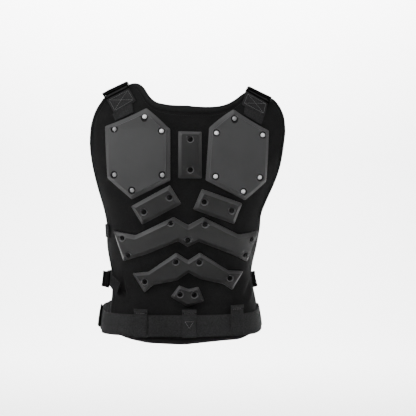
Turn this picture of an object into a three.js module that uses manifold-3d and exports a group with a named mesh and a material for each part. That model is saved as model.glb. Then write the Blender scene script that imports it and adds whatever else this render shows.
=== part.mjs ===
// Tactical vest, worn upright and held up at the shoulders.
// Millimetres. X is the wearer's right, Y the way the wearer faces, Z up.
// The origin is midway between the shoulder straps, at their underside.
import * as THREE from "three";
import Module from "manifold-3d";
import { mergeVertices } from "three/addons/utils/BufferGeometryUtils.js";

const wasm = await Module();
wasm.setup();

// Driving sizes
const vestHeight = 571;
const formWidth = 472;
const formDepth = 240;
const sideSway = 18;
const domeHeight = 100;
const shoulderSlope = 23;
const ridgeOffset = 167;
const shoulderRoll = 0.041;
const rollReach = 330;
const clothThick = 6;
const tapeThick = 1.2;
const tapeWidth = 8;
const insetWidth = 12;
const webThick = 2;
const clearance = 0.5;
const plateRise = 9;
const plateRim = 3;
const plateFacet = 48;
const plateSink = 2;
const screwRadius = 5;
const screwRise = 2.2;
const dishRadius = 8;
const dishFloor = 6;
const dishDepth = 2.6;
const dishSides = 8;
const foldThick = 3;
const strapSteps = 10;
const sideWebWidth = 30;
const bandSteps = 14;
const bandSink = 0.4;
const bandDraw = 15;
const bandFreeEnd = 0.72;
const tailReach = 0.3;
const tailLift = 0.25;
const leanShare = 0.22;
const slideMargin = 4;
const beltWidth = 46;
const beltDown = 0.9317;
const beltStations = 72;
const beltDraw = 6;
const beltRaise = 11;
const beltSlideWidth = 20;
const loopWidth = 28;
const loopDown = 0.923;
const loopFold = 5;
const loopLength = 60;
const slideThick = 4;
const strapDip = 22;

// Sections of the torso form, from the top of the chest to the hem.
// down: share of the vest's height. width: share of the form's width.
// back, front: shares of the form's depth. sway: share of the side sway.
const sections = [
  { down: 0.175, width: 0.985, back: 0.458, front: 0.417, sway: 0.0, square: 0.05 },
  { down: 0.27, width: 0.949, back: 0.492, front: 0.517, sway: 0.183, square: 0.05 },
  { down: 0.36, width: 0.8883, back: 0.5, front: 0.542, sway: 0.285, square: 0.045 },
  { down: 0.455, width: 0.8013, back: 0.483, front: 0.525, sway: 0.38, square: 0.04 },
  { down: 0.55, width: 0.7344, back: 0.45, front: 0.488, sway: 0.533, square: 0.035 },
  { down: 0.63, width: 0.7033, back: 0.413, front: 0.458, sway: 0.75, square: 0.03 },
  { down: 0.74, width: 0.6681, back: 0.392, front: 0.433, sway: 1.0, square: 0.03 },
  { down: 0.84, width: 0.7105, back: 0.408, front: 0.433, sway: 1.0, square: 0.035 },
  { down: 0.93, width: 0.752, back: 0.438, front: 0.446, sway: 1.0, square: 0.04 },
  { down: 1.0, width: 0.765, back: 0.458, front: 0.45, sway: 1.0, square: 0.04 },
];

// Back panel sides. down: share of height. left, right: shares of half the form's width.
const backSides = [
  { down: 0.0, left: -0.76, right: 0.81 },
  { down: 0.044, left: -0.788, right: 0.89 },
  { down: 0.1, left: -0.888, right: 0.945 },
  { down: 0.172, left: -0.947, right: 0.957 },
  { down: 0.236, left: -0.975, right: 0.95 },
  { down: 0.325, left: -0.961, right: 0.939 },
  { down: 0.39, left: -0.935, right: 0.879 },
  { down: 0.432, left: -0.924, right: 0.825 },
  { down: 0.507, left: -0.867, right: 0.74 },
  { down: 0.566, left: -0.859, right: 0.808 },
  { down: 0.61, left: -0.913, right: 0.806 },
  { down: 0.672, left: -0.858, right: 0.785 },
  { down: 0.715, left: -0.795, right: 0.79 },
  { down: 0.755, left: -0.765, right: 0.728 },
  { down: 0.83, left: -0.738, right: 0.77 },
  { down: 0.875, left: -0.758, right: 0.8 },
  { down: 0.92, left: -0.755, right: 0.76 },
  { down: 1.0, left: -0.69, right: 0.63 },
];

// Back panel top edge and hem across its width. across: 0 left, 1 right.
const backTop = [
  { across: 0.0, down: 0.044 },
  { across: 0.14, down: 0.008 },
  { across: 0.185, down: 0.018 },
  { across: 0.225, down: 0.042 },
  { across: 0.265, down: 0.076 },
  { across: 0.32, down: 0.106 },
  { across: 0.4, down: 0.119 },
  { across: 0.5, down: 0.125 },
  { across: 0.6, down: 0.119 },
  { across: 0.67, down: 0.107 },
  { across: 0.725, down: 0.082 },
  { across: 0.765, down: 0.053 },
  { across: 0.8, down: 0.033 },
  { across: 0.85, down: 0.014 },
  { across: 1.0, down: 0.01 },
];
const backHem = [
  { across: 0.0, down: 0.96 },
  { across: 0.12, down: 0.982 },
  { across: 0.25, down: 0.995 },
  { across: 0.42, down: 0.998 },
  { across: 0.5, down: 0.999 },
  { across: 0.75, down: 0.987 },
  { across: 0.88, down: 0.985 },
  { across: 1.0, down: 0.96 },
];

// Front panel, plain. Sides and top in the same shares.
const frontSides = [
  { down: 0.0, left: -0.8, right: 0.84 },
  { down: 0.1, left: -0.77, right: 0.82 },
  { down: 0.25, left: -0.7, right: 0.7 },
  { down: 0.4, left: -0.8, right: 0.8 },
  { down: 0.55, left: -0.76, right: 0.76 },
  { down: 0.8, left: -0.7, right: 0.7 },
  { down: 1.0, left: -0.72, right: 0.72 },
];
const frontTop = [
  { across: 0.0, down: 0.1 },
  { across: 0.2, down: 0.09 },
  { across: 0.28, down: 0.13 },
  { across: 0.38, down: 0.185 },
  { across: 0.5, down: 0.2 },
  { across: 0.62, down: 0.185 },
  { across: 0.72, down: 0.13 },
  { across: 0.8, down: 0.09 },
  { across: 1.0, down: 0.1 },
];
const frontHem = [
  { across: 0.0, down: 0.955 },
  { across: 0.5, down: 0.99 },
  { across: 1.0, down: 0.955 },
];

function column(rows, key, value) {
  const places = rows.map((row) => row[key]);
  const heights = rows.map((row) => row[value]);
  const curve = new THREE.LinearInterpolant(places, heights, 1, new Float64Array(1));
  return (at) => curve.evaluate(at)[0];
}

const rising = [...sections].reverse();
const sectionTable = new THREE.CubicInterpolant(
  rising.map((row) => -row.down * vestHeight),
  rising.flatMap((row) => [
    (row.width * formWidth) / 2,
    row.back * formDepth,
    row.front * formDepth,
    -row.sway * sideSway,
    row.square,
  ]),
  5,
  new Float64Array(5),
);
const domeStart = -sections[0].down * vestHeight;
const domeSpan = (domeHeight * Math.PI) / 2;
const slope = Math.tan(THREE.MathUtils.degToRad(shoulderSlope));

// A point of the form at a turn round its section and a height along its side.
function formPoint(turn, height) {
  const level = Math.max(-vestHeight, Math.min(height, domeStart));
  const [halfWidth, back, front, sway, square] = sectionTable.evaluate(level);
  const across = (Math.sin(turn) + square * Math.sin(3 * turn)) / (1 - square);
  const deep = (Math.cos(turn) - square * Math.cos(3 * turn)) / (1 - square);
  const rise = (Math.max(0, height - domeStart) / domeSpan) * (Math.PI / 2);
  const turned = deep * Math.cos(rise);
  const x = sway + halfWidth * across;
  const y = -turned * (turned > 0 ? back : front);
  const ridge = slope * (ridgeOffset - Math.abs(x));
  const plain = rise > 0 ? domeStart + (ridge - domeStart) * Math.sin(rise) : height;
  const tilt = Math.pow(Math.max(0, 1 + plain / rollReach), 1.5);
  return new THREE.Vector3(x, y, plain - x * shoulderRoll * tilt);
}

// The turn that lies a given length round the section from its middle line.
function turnAt(length, height, middle) {
  const level = Math.min(height, domeStart);
  const side = middle === 0 ? 1 : -1;
  let low = middle - 0.6;
  let high = middle + 0.6;
  for (let pass = 0; pass < 30; pass += 1) {
    const half = (low + high) / 2;
    if (formPoint(half, level).x * side < 0) low = half;
    else high = half;
  }
  const step = (Math.sign(length) || 1) * side * (Math.PI / 120);
  let turn = low;
  let left = Math.abs(length);
  let from = formPoint(turn, level);
  for (;;) {
    const to = formPoint(turn + step, level);
    const run = Math.hypot(to.x - from.x, to.y - from.y);
    if (run >= left) return turn + (step * left) / run;
    left -= run;
    turn += step;
    from = to;
  }
}

function normalAt(turn, height) {
  const round = formPoint(turn + 0.002, height).sub(formPoint(turn - 0.002, height));
  const up = formPoint(turn, height + 0.5).sub(formPoint(turn, height - 0.5));
  return round.cross(up).normalize();
}

// A point at a length round the form, a height, and a rise off its surface.
function place(length, height, rise, middle = 0) {
  const turn = turnAt(length, height, middle);
  return formPoint(turn, height).addScaledVector(normalAt(turn, height), rise);
}

// A closed geometry with its faces turned outwards.
function geometryFrom(points, faces) {
  const geometry = new THREE.BufferGeometry();
  const flat = points.flatMap((point) => [point.x, point.y, point.z]);
  geometry.setAttribute("position", new THREE.Float32BufferAttribute(flat, 3));
  let volume = 0;
  for (const [a, b, c] of faces) volume += points[a].dot(points[b].clone().cross(points[c]));
  const facing = volume > 0 ? faces : faces.map(([a, b, c]) => [a, c, b]);
  geometry.setIndex(facing.flat());
  return geometry;
}

// A closed slab over a grid of places, each with a lower and an upper rise.
function slab(grid, middle = 0) {
  const rows = grid.length;
  const columns = grid[0].length;
  const count = rows * columns;
  const points = [];
  for (const key of ["low", "high"]) {
    for (const row of grid) {
      for (const spot of row) points.push(place(spot.s, spot.q, spot[key], middle));
    }
  }
  const faces = [];
  const at = (row, col) => row * columns + col;
  for (let row = 0; row + 1 < rows; row += 1) {
    for (let col = 0; col + 1 < columns; col += 1) {
      const [a, b] = [at(row, col), at(row, col + 1)];
      const [c, d] = [at(row + 1, col + 1), at(row + 1, col)];
      faces.push([a + count, b + count, c + count], [a + count, c + count, d + count]);
      faces.push([a, c, b], [a, d, c]);
    }
  }
  const loop = boundary(rows, columns).map(([row, col]) => at(row, col));
  loop.forEach((a, index) => {
    const b = loop[(index + 1) % loop.length];
    faces.push([a, b, b + count], [a, b + count, a + count]);
  });
  return geometryFrom(points, faces);
}

function boundary(rows, columns) {
  const loop = [];
  for (let col = 0; col < columns - 1; col += 1) loop.push([0, col]);
  for (let row = 0; row < rows - 1; row += 1) loop.push([row, columns - 1]);
  for (let col = columns - 1; col > 0; col -= 1) loop.push([rows - 1, col]);
  for (let row = rows - 1; row > 0; row -= 1) loop.push([row, 0]);
  return loop;
}

function shares(count, inset) {
  const list = [0, inset];
  for (let index = 1; index < count - 2; index += 1) {
    list.push(inset + ((1 - 2 * inset) * index) / (count - 2));
  }
  return [...list, 1 - inset, 1];
}

// A place in millimetres from its shares across half the form and down the vest.
function spotOf([across, down]) {
  return [(across * formWidth) / 2, -down * vestHeight];
}

// The grid of places that a panel covers.
function panelGrid(sides, top, hem, columns, rows) {
  const left = column(sides, "down", "left");
  const right = column(sides, "down", "right");
  const topAt = column(top, "across", "down");
  const hemAt = column(hem, "across", "down");
  const half = formWidth / 2;
  return shares(rows, insetWidth / vestHeight).map((up) =>
    shares(columns, insetWidth / (2 * half * 0.86)).map((across) => {
      const down = THREE.MathUtils.lerp(hemAt(across), topAt(across), up);
      const s = half * THREE.MathUtils.lerp(left(down), right(down), across);
      return { s, q: -down * vestHeight, low: 0, high: clothThick };
    }),
  );
}

// The place beside a node of the grid's boundary, a share of the way inwards.
function beside(grid, row, col, share) {
  const inRow = Math.min(Math.max(row, 1), grid.length - 2);
  const inCol = Math.min(Math.max(col, 1), grid[0].length - 2);
  const inner = grid[inRow][inCol];
  const rim = grid[row][col];
  const s = THREE.MathUtils.lerp(rim.s, inner.s, share);
  return { ...rim, s, q: THREE.MathUtils.lerp(rim.q, inner.q, share) };
}

// The room that a panel takes with a clearance all round it.
function roomOf(grid, gap, middle = 0) {
  const rows = grid.length;
  const columns = grid[0].length;
  const wider = grid.map((row) => row.map((spot) => ({ ...spot, low: -gap, high: clothThick + gap })));
  for (const [row, col] of boundary(rows, columns)) {
    wider[row][col] = { ...wider[row][col], ...beside(grid, row, col, -gap / insetWidth) };
    wider[row][col].low = -gap;
    wider[row][col].high = clothThick + gap;
  }
  return solid(slab(wider, middle));
}

// A ring along the boundary of a panel, over its edge and both of its faces.
function edgeRing(grid, gap) {
  const rows = grid.length;
  const columns = grid[0].length;
  const inward = (tapeWidth + gap) / insetWidth;
  const rim = clearance + tapeThick + gap;
  const outer = -rim / insetWidth;
  const profile = [
    [inward, -rim],
    [outer, -rim],
    [outer, clothThick + rim],
    [inward, clothThick + rim],
  ];
  const loop = boundary(rows, columns);
  const points = loop.flatMap(([row, col]) =>
    profile.map(([along, rise]) => {
      const spot = beside(grid, row, col, along);
      return place(spot.s, spot.q, rise);
    }),
  );
  const size = profile.length;
  const faces = [];
  loop.forEach((_, index) => {
    const a = index * size;
    const b = ((index + 1) % loop.length) * size;
    for (let side = 0; side < size; side += 1) {
      const next = (side + 1) % size;
      faces.push([a + side, b + next, a + next], [a + side, b + side, b + next]);
    }
  });
  return solid(geometryFrom(points, faces));
}

// Tape folded round the edge of a panel: the ring without the panel's room.
function binding(grid) {
  return fromSolid(edgeRing(grid, 0).subtract(roomOf(grid, clearance)));
}

// Webbing between rungs, each a pair of ends with a rise.
function webbing(rungs, thick, across = 2, middle = 0) {
  const grid = rungs.map((rung) =>
    Array.from({ length: across + 1 }, (_, index) => {
      const share = index / across;
      const s = THREE.MathUtils.lerp(rung.from[0], rung.to[0], share);
      const q = THREE.MathUtils.lerp(rung.from[1], rung.to[1], share);
      return { s, q, low: rung.rise, high: rung.rise + (rung.thick ?? thick) };
    }),
  );
  return slab(grid, middle);
}

// Splits every edge longer than the limit, so that a flat body can follow the form.
function refine(points, faces, limit) {
  let list = faces;
  for (let pass = 0; pass < 5; pass += 1) {
    const halves = new Map();
    const half = (a, b) => {
      const key = a < b ? `${a}_${b}` : `${b}_${a}`;
      if (!halves.has(key)) {
        const far = points[a].distanceTo(points[b]) > limit;
        const added = far ? points.push(points[a].clone().lerp(points[b], 0.5)) - 1 : -1;
        halves.set(key, added);
      }
      return halves.get(key);
    };
    const next = [];
    for (const face of list) {
      const mids = face.map((a, index) => half(a, face[(index + 1) % 3]));
      const marked = mids.filter((mid) => mid >= 0).length;
      if (marked === 0) next.push(face);
      else if (marked === 3) {
        next.push([face[0], mids[0], mids[2]], [face[1], mids[1], mids[0]]);
        next.push([face[2], mids[2], mids[1]], mids);
      } else {
        const turn = marked === 1 ? mids.findIndex((mid) => mid >= 0) : (mids.indexOf(-1) + 1) % 3;
        const [a, b, c] = [face[turn], face[(turn + 1) % 3], face[(turn + 2) % 3]];
        const [ab, bc] = [mids[turn], mids[(turn + 1) % 3]];
        if (marked === 1) next.push([a, ab, c], [ab, b, c]);
        else next.push([ab, b, bc], [a, ab, bc], [a, bc, c]);
      }
    }
    if (next.length === list.length) break;
    list = next;
  }
  return list;
}

// A plate with a short rim, a bevel and a flat face, laid on the back panel.
function plate(outline, bevel) {
  const ring = outline.map(([s, q]) => new THREE.Vector2(s, q));
  const count = ring.length;
  const inner = ring.map((corner, index) => {
    const before = ring[(index + count - 1) % count];
    const after = ring[(index + 1) % count];
    const back = corner.clone().sub(before).normalize();
    const ahead = after.clone().sub(corner).normalize();
    const out = new THREE.Vector2(back.y + ahead.y, -back.x - ahead.x).normalize();
    const spread = Math.max(0.55, out.dot(new THREE.Vector2(ahead.y, -ahead.x)));
    return corner.clone().addScaledVector(out, -bevel / spread);
  });
  const flat = (list, rise) => list.map((corner) => new THREE.Vector3(corner.x, corner.y, rise));
  const points = [...flat(ring, 0), ...flat(ring, plateRim), ...flat(inner, plateRise)];
  const faces = [];
  for (const [a, b, c] of THREE.ShapeUtils.triangulateShape(ring, [])) faces.push([a, c, b]);
  for (const cap of THREE.ShapeUtils.triangulateShape(inner, [])) {
    faces.push(cap.map((index) => index + 2 * count));
  }
  for (const tier of [0, count]) {
    for (let a = 0; a < count; a += 1) {
      const b = (a + 1) % count;
      faces.push([a + tier, b + tier, b + tier + count]);
      faces.push([a + tier, b + tier + count, a + tier + count]);
    }
  }
  const split = refine(points, faces, plateFacet);
  const base = clothThick + clearance;
  const sunk = (spot) => (spot.z > 0 ? base + spot.z : clothThick - plateSink);
  return geometryFrom(points.map((spot) => place(spot.x, spot.y, sunk(spot))), split);
}

function solid(geometry) {
  const bare = geometry.clone();
  bare.deleteAttribute("normal");
  bare.deleteAttribute("uv");
  const merged = mergeVertices(bare, 1e-4);
  const mesh = new wasm.Mesh({
    numProp: 3,
    vertProperties: new Float32Array(merged.attributes.position.array),
    triVerts: new Uint32Array(merged.index.array),
  });
  return new wasm.Manifold(mesh);
}

function fromSolid(body) {
  const mesh = body.getMesh();
  const geometry = new THREE.BufferGeometry();
  const spots = new Float32Array(mesh.vertProperties);
  geometry.setAttribute("position", new THREE.BufferAttribute(spots, 3));
  geometry.setIndex(new THREE.BufferAttribute(new Uint32Array(mesh.triVerts), 1));
  return geometry;
}

// Where a screw stands on a plate: its foot and the way its axis points.
function screwSeat([s, q]) {
  const turn = turnAt(s, q, 0);
  const axis = normalAt(turn, q);
  const top = clothThick + clearance + plateRise;
  const foot = formPoint(turn, q).addScaledVector(axis, top - dishDepth);
  const spin = new THREE.Quaternion().setFromUnitVectors(new THREE.Vector3(0, 1, 0), axis);
  return { foot, spin };
}

function dish(spot) {
  const seat = screwSeat(spot);
  const tall = 2 * dishDepth;
  const wide = dishFloor + 2 * (dishRadius - dishFloor);
  const cutter = new THREE.CylinderGeometry(wide, dishFloor, tall, dishSides);
  cutter.translate(0, tall / 2, 0);
  cutter.applyQuaternion(seat.spin);
  return cutter.translate(seat.foot.x, seat.foot.y, seat.foot.z);
}

const materials = {
  cloth: { color: 0x17181a, roughness: 0.92, metalness: 0 },
  tape: { color: 0x1c1d1f, roughness: 0.8, metalness: 0 },
  web: { color: 0x202123, roughness: 0.85, metalness: 0 },
  plate: { color: 0x3c3d3f, roughness: 0.45, metalness: 0 },
  buckle: { color: 0x141415, roughness: 0.3, metalness: 0 },
  rivet: { color: 0xc9cbce, roughness: 0.25, metalness: 1 },
  screw: { color: 0x1a1a1b, roughness: 0.25, metalness: 0.6 },
};

const group = new THREE.Group();
group.name = "tactical_vest";

function add(name, geometry, kind) {
  const mesh = new THREE.Mesh(geometry, new THREE.MeshStandardMaterial(materials[kind]));
  mesh.name = name;
  group.add(mesh);
  return mesh;
}

const backGrid = panelGrid(backSides, backTop, backHem, 20, 16);
const frontGrid = panelGrid(frontSides, frontTop, frontHem, 13, 11);
add("back_panel", slab(backGrid), "cloth");
add("front_panel", slab(frontGrid, Math.PI), "cloth");
add("back_binding", binding(backGrid), "tape");

// Plates. outline: corners taken anticlockwise, each as a share of half the form's width
// and a share of the vest's height down. bevel: width of the sloping edge.
// screws: places of the screws, in the same shares.
const plates = [
  {
    name: "scapula_plate_left",
    bevel: 9,
    outline: [
      [-0.1593, 0.1783], [-0.3797, 0.1198], [-0.7691, 0.1709], [-0.7483, 0.3632], [-0.5127, 0.4438],
      [-0.1589, 0.3723],
    ],
    screws: [
      [-0.6691, 0.1848], [-0.3941, 0.1455], [-0.239, 0.1898], [-0.2301, 0.352], [-0.5034, 0.4077],
      [-0.6674, 0.3504],
    ],
    kind: "rivet",
  },
  {
    name: "scapula_plate_right",
    bevel: 9,
    outline: [
      [0.4208, 0.1138], [0.1966, 0.1706], [0.1623, 0.3706], [0.5275, 0.4447], [0.7381, 0.3708],
      [0.7534, 0.1729],
    ],
    screws: [
      [0.4263, 0.1431], [0.6847, 0.1939], [0.6559, 0.3543], [0.5017, 0.4089], [0.2508, 0.3553],
      [0.2623, 0.1928],
    ],
    kind: "rivet",
  },
  {
    name: "spine_plate",
    bevel: 8,
    outline: [[0.1297, 0.1872], [-0.0881, 0.1872], [-0.0877, 0.3639], [0.1292, 0.3637]],
    screws: [[0.0229, 0.2193], [0.0229, 0.3319]],
    kind: "screw",
  },
  {
    name: "rib_plate_left",
    bevel: 8,
    outline: [[-0.1627, 0.3895], [-0.5203, 0.4697], [-0.4174, 0.5394], [-0.0585, 0.4601]],
    screws: [[-0.3966, 0.4891], [-0.1644, 0.4347]],
    kind: "screw",
  },
  {
    name: "rib_plate_right",
    bevel: 8,
    outline: [[0.1288, 0.4032], [0.0496, 0.4807], [0.4263, 0.537], [0.5025, 0.4571]],
    screws: [[0.1483, 0.451], [0.3962, 0.483]],
    kind: "screw",
  },
  {
    name: "upper_lumbar_plate",
    bevel: 8,
    outline: [
      [0.0034, 0.5413], [-0.1292, 0.5102], [-0.4814, 0.5807], [-0.711, 0.5671], [-0.6025, 0.6856],
      [-0.372, 0.6538], [-0.0881, 0.6018], [-0.0008, 0.6252], [0.0983, 0.6033], [0.3674, 0.6494],
      [0.578, 0.6874], [0.7157, 0.5664], [0.4725, 0.5781], [0.1407, 0.51],
    ],
    screws: [
      [-0.6013, 0.5907], [-0.5441, 0.6611], [-0.1534, 0.5305], [-0.0008, 0.5958], [0.1547, 0.5359],
      [0.6038, 0.5963], [0.5352, 0.6599],
    ],
    kind: "screw",
    overEdge: true,
  },
  {
    name: "lower_lumbar_plate",
    bevel: 7,
    outline: [
      [0.003, 0.6785], [-0.1047, 0.6483], [-0.3644, 0.725], [-0.5136, 0.7324], [-0.3979, 0.8074],
      [-0.3237, 0.7771], [-0.0966, 0.7571], [0.0068, 0.7266], [0.1059, 0.7518], [0.3305, 0.7741],
      [0.4144, 0.7993], [0.5343, 0.7263], [0.3784, 0.721], [0.1106, 0.6482],
    ],
    screws: [[-0.3919, 0.7639], [-0.1097, 0.683], [0.1017, 0.6849], [0.3809, 0.752]],
    kind: "screw",
  },
  {
    name: "tail_plate",
    bevel: 6,
    outline: [
      [-0.0801, 0.7769], [-0.1589, 0.821], [-0.0013, 0.8599], [0.1517, 0.837], [0.0979, 0.7823],
      [0.0068, 0.7911],
    ],
    screws: [[-0.0716, 0.8119], [0.0572, 0.8142]],
    kind: "screw",
  },
];

const backRoom = roomOf(backGrid, clearance);
const tapeRoom = edgeRing(backGrid, clearance);
const frontRoom = roomOf(frontGrid, clearance, Math.PI);
for (const { name, bevel, outline, screws, kind, overEdge } of plates) {
  const seats = screws.map(spotOf);
  let body = solid(plate(outline.map(spotOf), bevel)).subtract(backRoom);
  if (overEdge) body = body.subtract(tapeRoom);
  for (const spot of seats) body = body.subtract(solid(dish(spot)));
  add(name, fromSolid(body), "plate");
  seats.forEach((spot, index) => {
    const seat = screwSeat(spot);
    const profile = [
      new THREE.Vector2(0, clearance),
      new THREE.Vector2(screwRadius, clearance),
      new THREE.Vector2(screwRadius * 0.8, clearance + screwRise),
      new THREE.Vector2(0, clearance + screwRise),
    ];
    const head = add(`${name}_screw_${index + 1}`, new THREE.LatheGeometry(profile, dishSides), kind);
    head.position.copy(seat.foot);
    head.quaternion.copy(seat.spin);
  });
}

// Shoulder pieces. Each side has a folded anchor, a slide and a strap over the shoulder.
// Places in the same shares: the slide's upper and lower edges, the fold of the anchor,
// the start and end of its lower layer, and the strap's end in front.
const overCloth = clothThick + clearance + tapeThick + clearance;
const overFront = clothThick + clearance;
const shoulders = [
  {
    name: "left",
    slideTop: [[-0.7919, 0.0342], [-0.5695, 0.0112]],
    slideFoot: [[-0.7555, 0.0664], [-0.5453, 0.0415]],
    fold: [[-0.6818, 0.1266], [-0.478, 0.0919]],
    under: [[-0.6996, 0.1277], [-0.5169, 0.0946]],
    end: [[-0.6716, 0.1506], [-0.5021, 0.1278]],
    front: [[-0.7458, -0.3082], [-0.5466, -0.3082]],
  },
  {
    name: "right",
    slideTop: [[0.5657, 0.0119], [0.7742, 0.0273]],
    slideFoot: [[0.5428, 0.0366], [0.7428, 0.0618]],
    fold: [[0.4983, 0.0914], [0.7153, 0.1172]],
    under: [[0.5297, 0.0963], [0.7123, 0.1189]],
    end: [[0.5169, 0.1226], [0.6822, 0.1515]],
    front: [[0.5508, -0.3082], [0.7542, -0.3082]],
  },
];

// An edge a share of the way from one edge to another, drawn in at both ends.
function edgeBetween(first, last, share, drawn = 0) {
  const ends = [0, 1].map((end) =>
    [0, 1].map((axis) => THREE.MathUtils.lerp(first[end][axis], last[end][axis], share)),
  );
  const pull = (near, far) => near.map((value, axis) => THREE.MathUtils.lerp(value, far[axis], drawn));
  return { from: pull(ends[0], ends[1]), to: pull(ends[1], ends[0]) };
}

for (const { name, ...edges } of shoulders) {
  const sides = Object.values(edges).map((edge) => edge.map(spotOf));
  const [slideTop, slideFoot, fold, under, end, front] = sides;
  const thick = foldThick;
  const anchor = webbing(
    [
      { ...edgeBetween(slideTop, slideFoot, 0.45), rise: overCloth, thick },
      { ...edgeBetween(slideFoot, fold, 0), rise: overCloth, thick },
      { ...edgeBetween(slideFoot, fold, 0.5), rise: overCloth - 0.5, thick },
      { ...edgeBetween(slideFoot, fold, 1), rise: clothThick + clearance, thick },
      { ...edgeBetween(under, end, 0), rise: clothThick + clearance, thick: webThick },
      { ...edgeBetween(under, end, 1), rise: clothThick + clearance, thick: webThick },
    ],
    webThick,
    3,
  );
  const seated = solid(anchor).subtract(tapeRoom).subtract(backRoom);
  add(`shoulder_anchor_${name}`, fromSolid(seated), "web");
  const slideRise = overCloth + foldThick + clearance;
  const slide = (shares, drawn, rise, deep) =>
    shares.map((share) => ({ ...edgeBetween(slideTop, slideFoot, share, drawn), rise, thick: deep }));
  const frame = solid(webbing(slide([0, 0.35, 1], -0.04, slideRise, slideThick), slideThick, 3));
  const slot = solid(webbing(slide([0.55, 0.9], 0.06, slideRise - 2, slideThick + 4), slideThick, 3));
  add(`shoulder_buckle_${name}`, fromSolid(frame.subtract(slot)), "buckle");
  const strap = [];
  const strapStart = edgeBetween(slideTop, slideFoot, 0.43, 0.05);
  const start = [strapStart.from, strapStart.to];
  for (let index = 0; index <= strapSteps; index += 1) {
    const share = index / strapSteps;
    const free = THREE.MathUtils.clamp((share - 0.07) / 0.81, 0, 1);
    const ahead = THREE.MathUtils.smoothstep(share, 0.6, 0.9);
    const rise = THREE.MathUtils.lerp(overCloth, overFront, ahead) - strapDip * Math.sin(Math.PI * free);
    strap.push({ ...edgeBetween(start, front, share), rise });
  }
  const laid = solid(webbing(strap, webThick, 3)).subtract(frontRoom).subtract(tapeRoom);
  add(`shoulder_strap_${name}`, fromSolid(laid), "web");
}

// Side webbing between the panels, drawn in where it leaves them.
// from, to: ends in shares of half the form's width. down: share of the vest's height.
// tail: how far the back end hangs down, as a share of the vest's height.
// free: share of the band where it leaves the back panel, or 1 where it lies under the panels.
const sideBands = [
  { name: "side_strap_upper_left", from: -0.78, to: -1.398, down: 0.57, tail: 0, free: 0.15 },
  { name: "side_strap_upper_right", from: 0.74, to: 1.347, down: 0.565, tail: 0, free: 1 },
  { name: "side_strap_lower_left", from: -0.66, to: -1.27, down: 0.757, tail: 0.04, free: 0.36 },
  { name: "side_strap_lower_right", from: 0.66, to: 1.229, down: 0.772, tail: 0, free: 1 },
];
const underCloth = -2 * clearance - tapeThick - webThick;
const bandRooms = {};
for (const { name, from, to, down, tail, free } of sideBands) {
  const rungs = [];
  const under = free === 1;
  for (let index = 0; index <= bandSteps; index += 1) {
    const share = index / bandSteps;
    const hang = tail * Math.pow(Math.max(0, 1 - share / tailReach), 1.5);
    const [s, q] = spotOf([THREE.MathUtils.lerp(from, to, share), down + hang]);
    const lean = hang * leanShare * vestHeight;
    const away = under ? 0 : THREE.MathUtils.clamp((share - free) / (bandFreeEnd - free), 0, 1);
    const ahead = THREE.MathUtils.smoothstep(share, bandFreeEnd - 0.2, bandFreeEnd);
    const near = under ? underCloth : overCloth - bandSink;
    const level = THREE.MathUtils.lerp(near, under ? underCloth : overFront, ahead);
    const rise = level - bandDraw * Math.sin(Math.PI * away) + hang * tailLift * vestHeight;
    rungs.push({ from: [s - lean, q - sideWebWidth / 2], to: [s + lean, q + sideWebWidth / 2], rise });
  }
  const thick = under ? webThick : webThick + bandSink;
  const seated = solid(webbing(rungs, thick, 1)).subtract(frontRoom).subtract(backRoom).subtract(tapeRoom);
  add(name, fromSolid(seated), "web");
  const wider = rungs.map(({ from: low, to: high, rise }) => ({
    from: [low[0], low[1] - clearance],
    to: [high[0], high[1] + clearance],
    rise: rise - clearance,
  }));
  bandRooms[name] = solid(webbing(wider, thick + 2 * clearance, 1));
}
const sideSlides = [
  { name: "left", from: -0.87, to: -0.765, down: 0.757, rise: overCloth + webThick },
  { name: "right", from: 0.768, to: 0.868, down: 0.772, rise: underCloth + webThick + clearance },
];
for (const { name, from, to, down, rise } of sideSlides) {
  const reach = sideWebWidth / 2 + slideMargin;
  const rungs = [0, 0.5, 1].map((share) => {
    const [s, q] = spotOf([THREE.MathUtils.lerp(from, to, share), down]);
    return { from: [s, q + reach], to: [s, q - reach], rise };
  });
  const body = solid(webbing(rungs, slideThick, 1)).subtract(bandRooms[`side_strap_lower_${name}`]);
  add(`side_buckle_lower_${name}`, fromSolid(body), "buckle");
}

// Belt all round at the hem, drawn in at the open sides and a little higher from there on.
// from, to: where a side is open, in degrees round from the spine. ramp: where it draws in.
const openSides = [
  { from: -118, to: -62, ramp: 8 },
  { from: 75, to: 112, ramp: 6 },
];
function degreesOf(turn) {
  return THREE.MathUtils.euclideanModulo(THREE.MathUtils.radToDeg(turn) + 180, 360) - 180;
}
function raiseOf(turn) {
  return beltRaise * THREE.MathUtils.smoothstep(Math.abs(degreesOf(turn)), 55, 95);
}
function openness(turn) {
  const degrees = degreesOf(turn);
  const shares = openSides.map(({ from, to, ramp }) => {
    const entered = THREE.MathUtils.smoothstep(degrees, from, from + ramp);
    const left = THREE.MathUtils.smoothstep(degrees, to - ramp, to);
    return entered - left;
  });
  return Math.max(...shares);
}
function beltRing(drop, width, rise, thick, count) {
  const points = [];
  for (let index = 0; index < count; index += 1) {
    const turn = (index / count) * 2 * Math.PI;
    const base = rise - openness(turn) * beltDraw;
    const middle = raiseOf(turn) - drop;
    for (const [level, lift] of [[0, base], [1, base], [1, base + thick], [0, base + thick]]) {
      const q = middle + (level - 0.5) * width;
      points.push(formPoint(turn, q).addScaledVector(normalAt(turn, q), lift));
    }
  }
  const faces = [];
  for (let index = 0; index < count; index += 1) {
    const a = index * 4;
    const b = ((index + 1) % count) * 4;
    for (let side = 0; side < 4; side += 1) {
      const next = (side + 1) % 4;
      faces.push([a + side, a + next, b + next], [a + side, b + next, b + side]);
    }
  }
  return geometryFrom(points, faces);
}
const beltDrop = beltDown * vestHeight;
const beltRise = overCloth + 2 * clearance;
const beltBody = solid(beltRing(beltDrop, beltWidth, beltRise, webThick, beltStations));
add("waist_belt", fromSolid(beltBody.subtract(tapeRoom)), "web");

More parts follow.
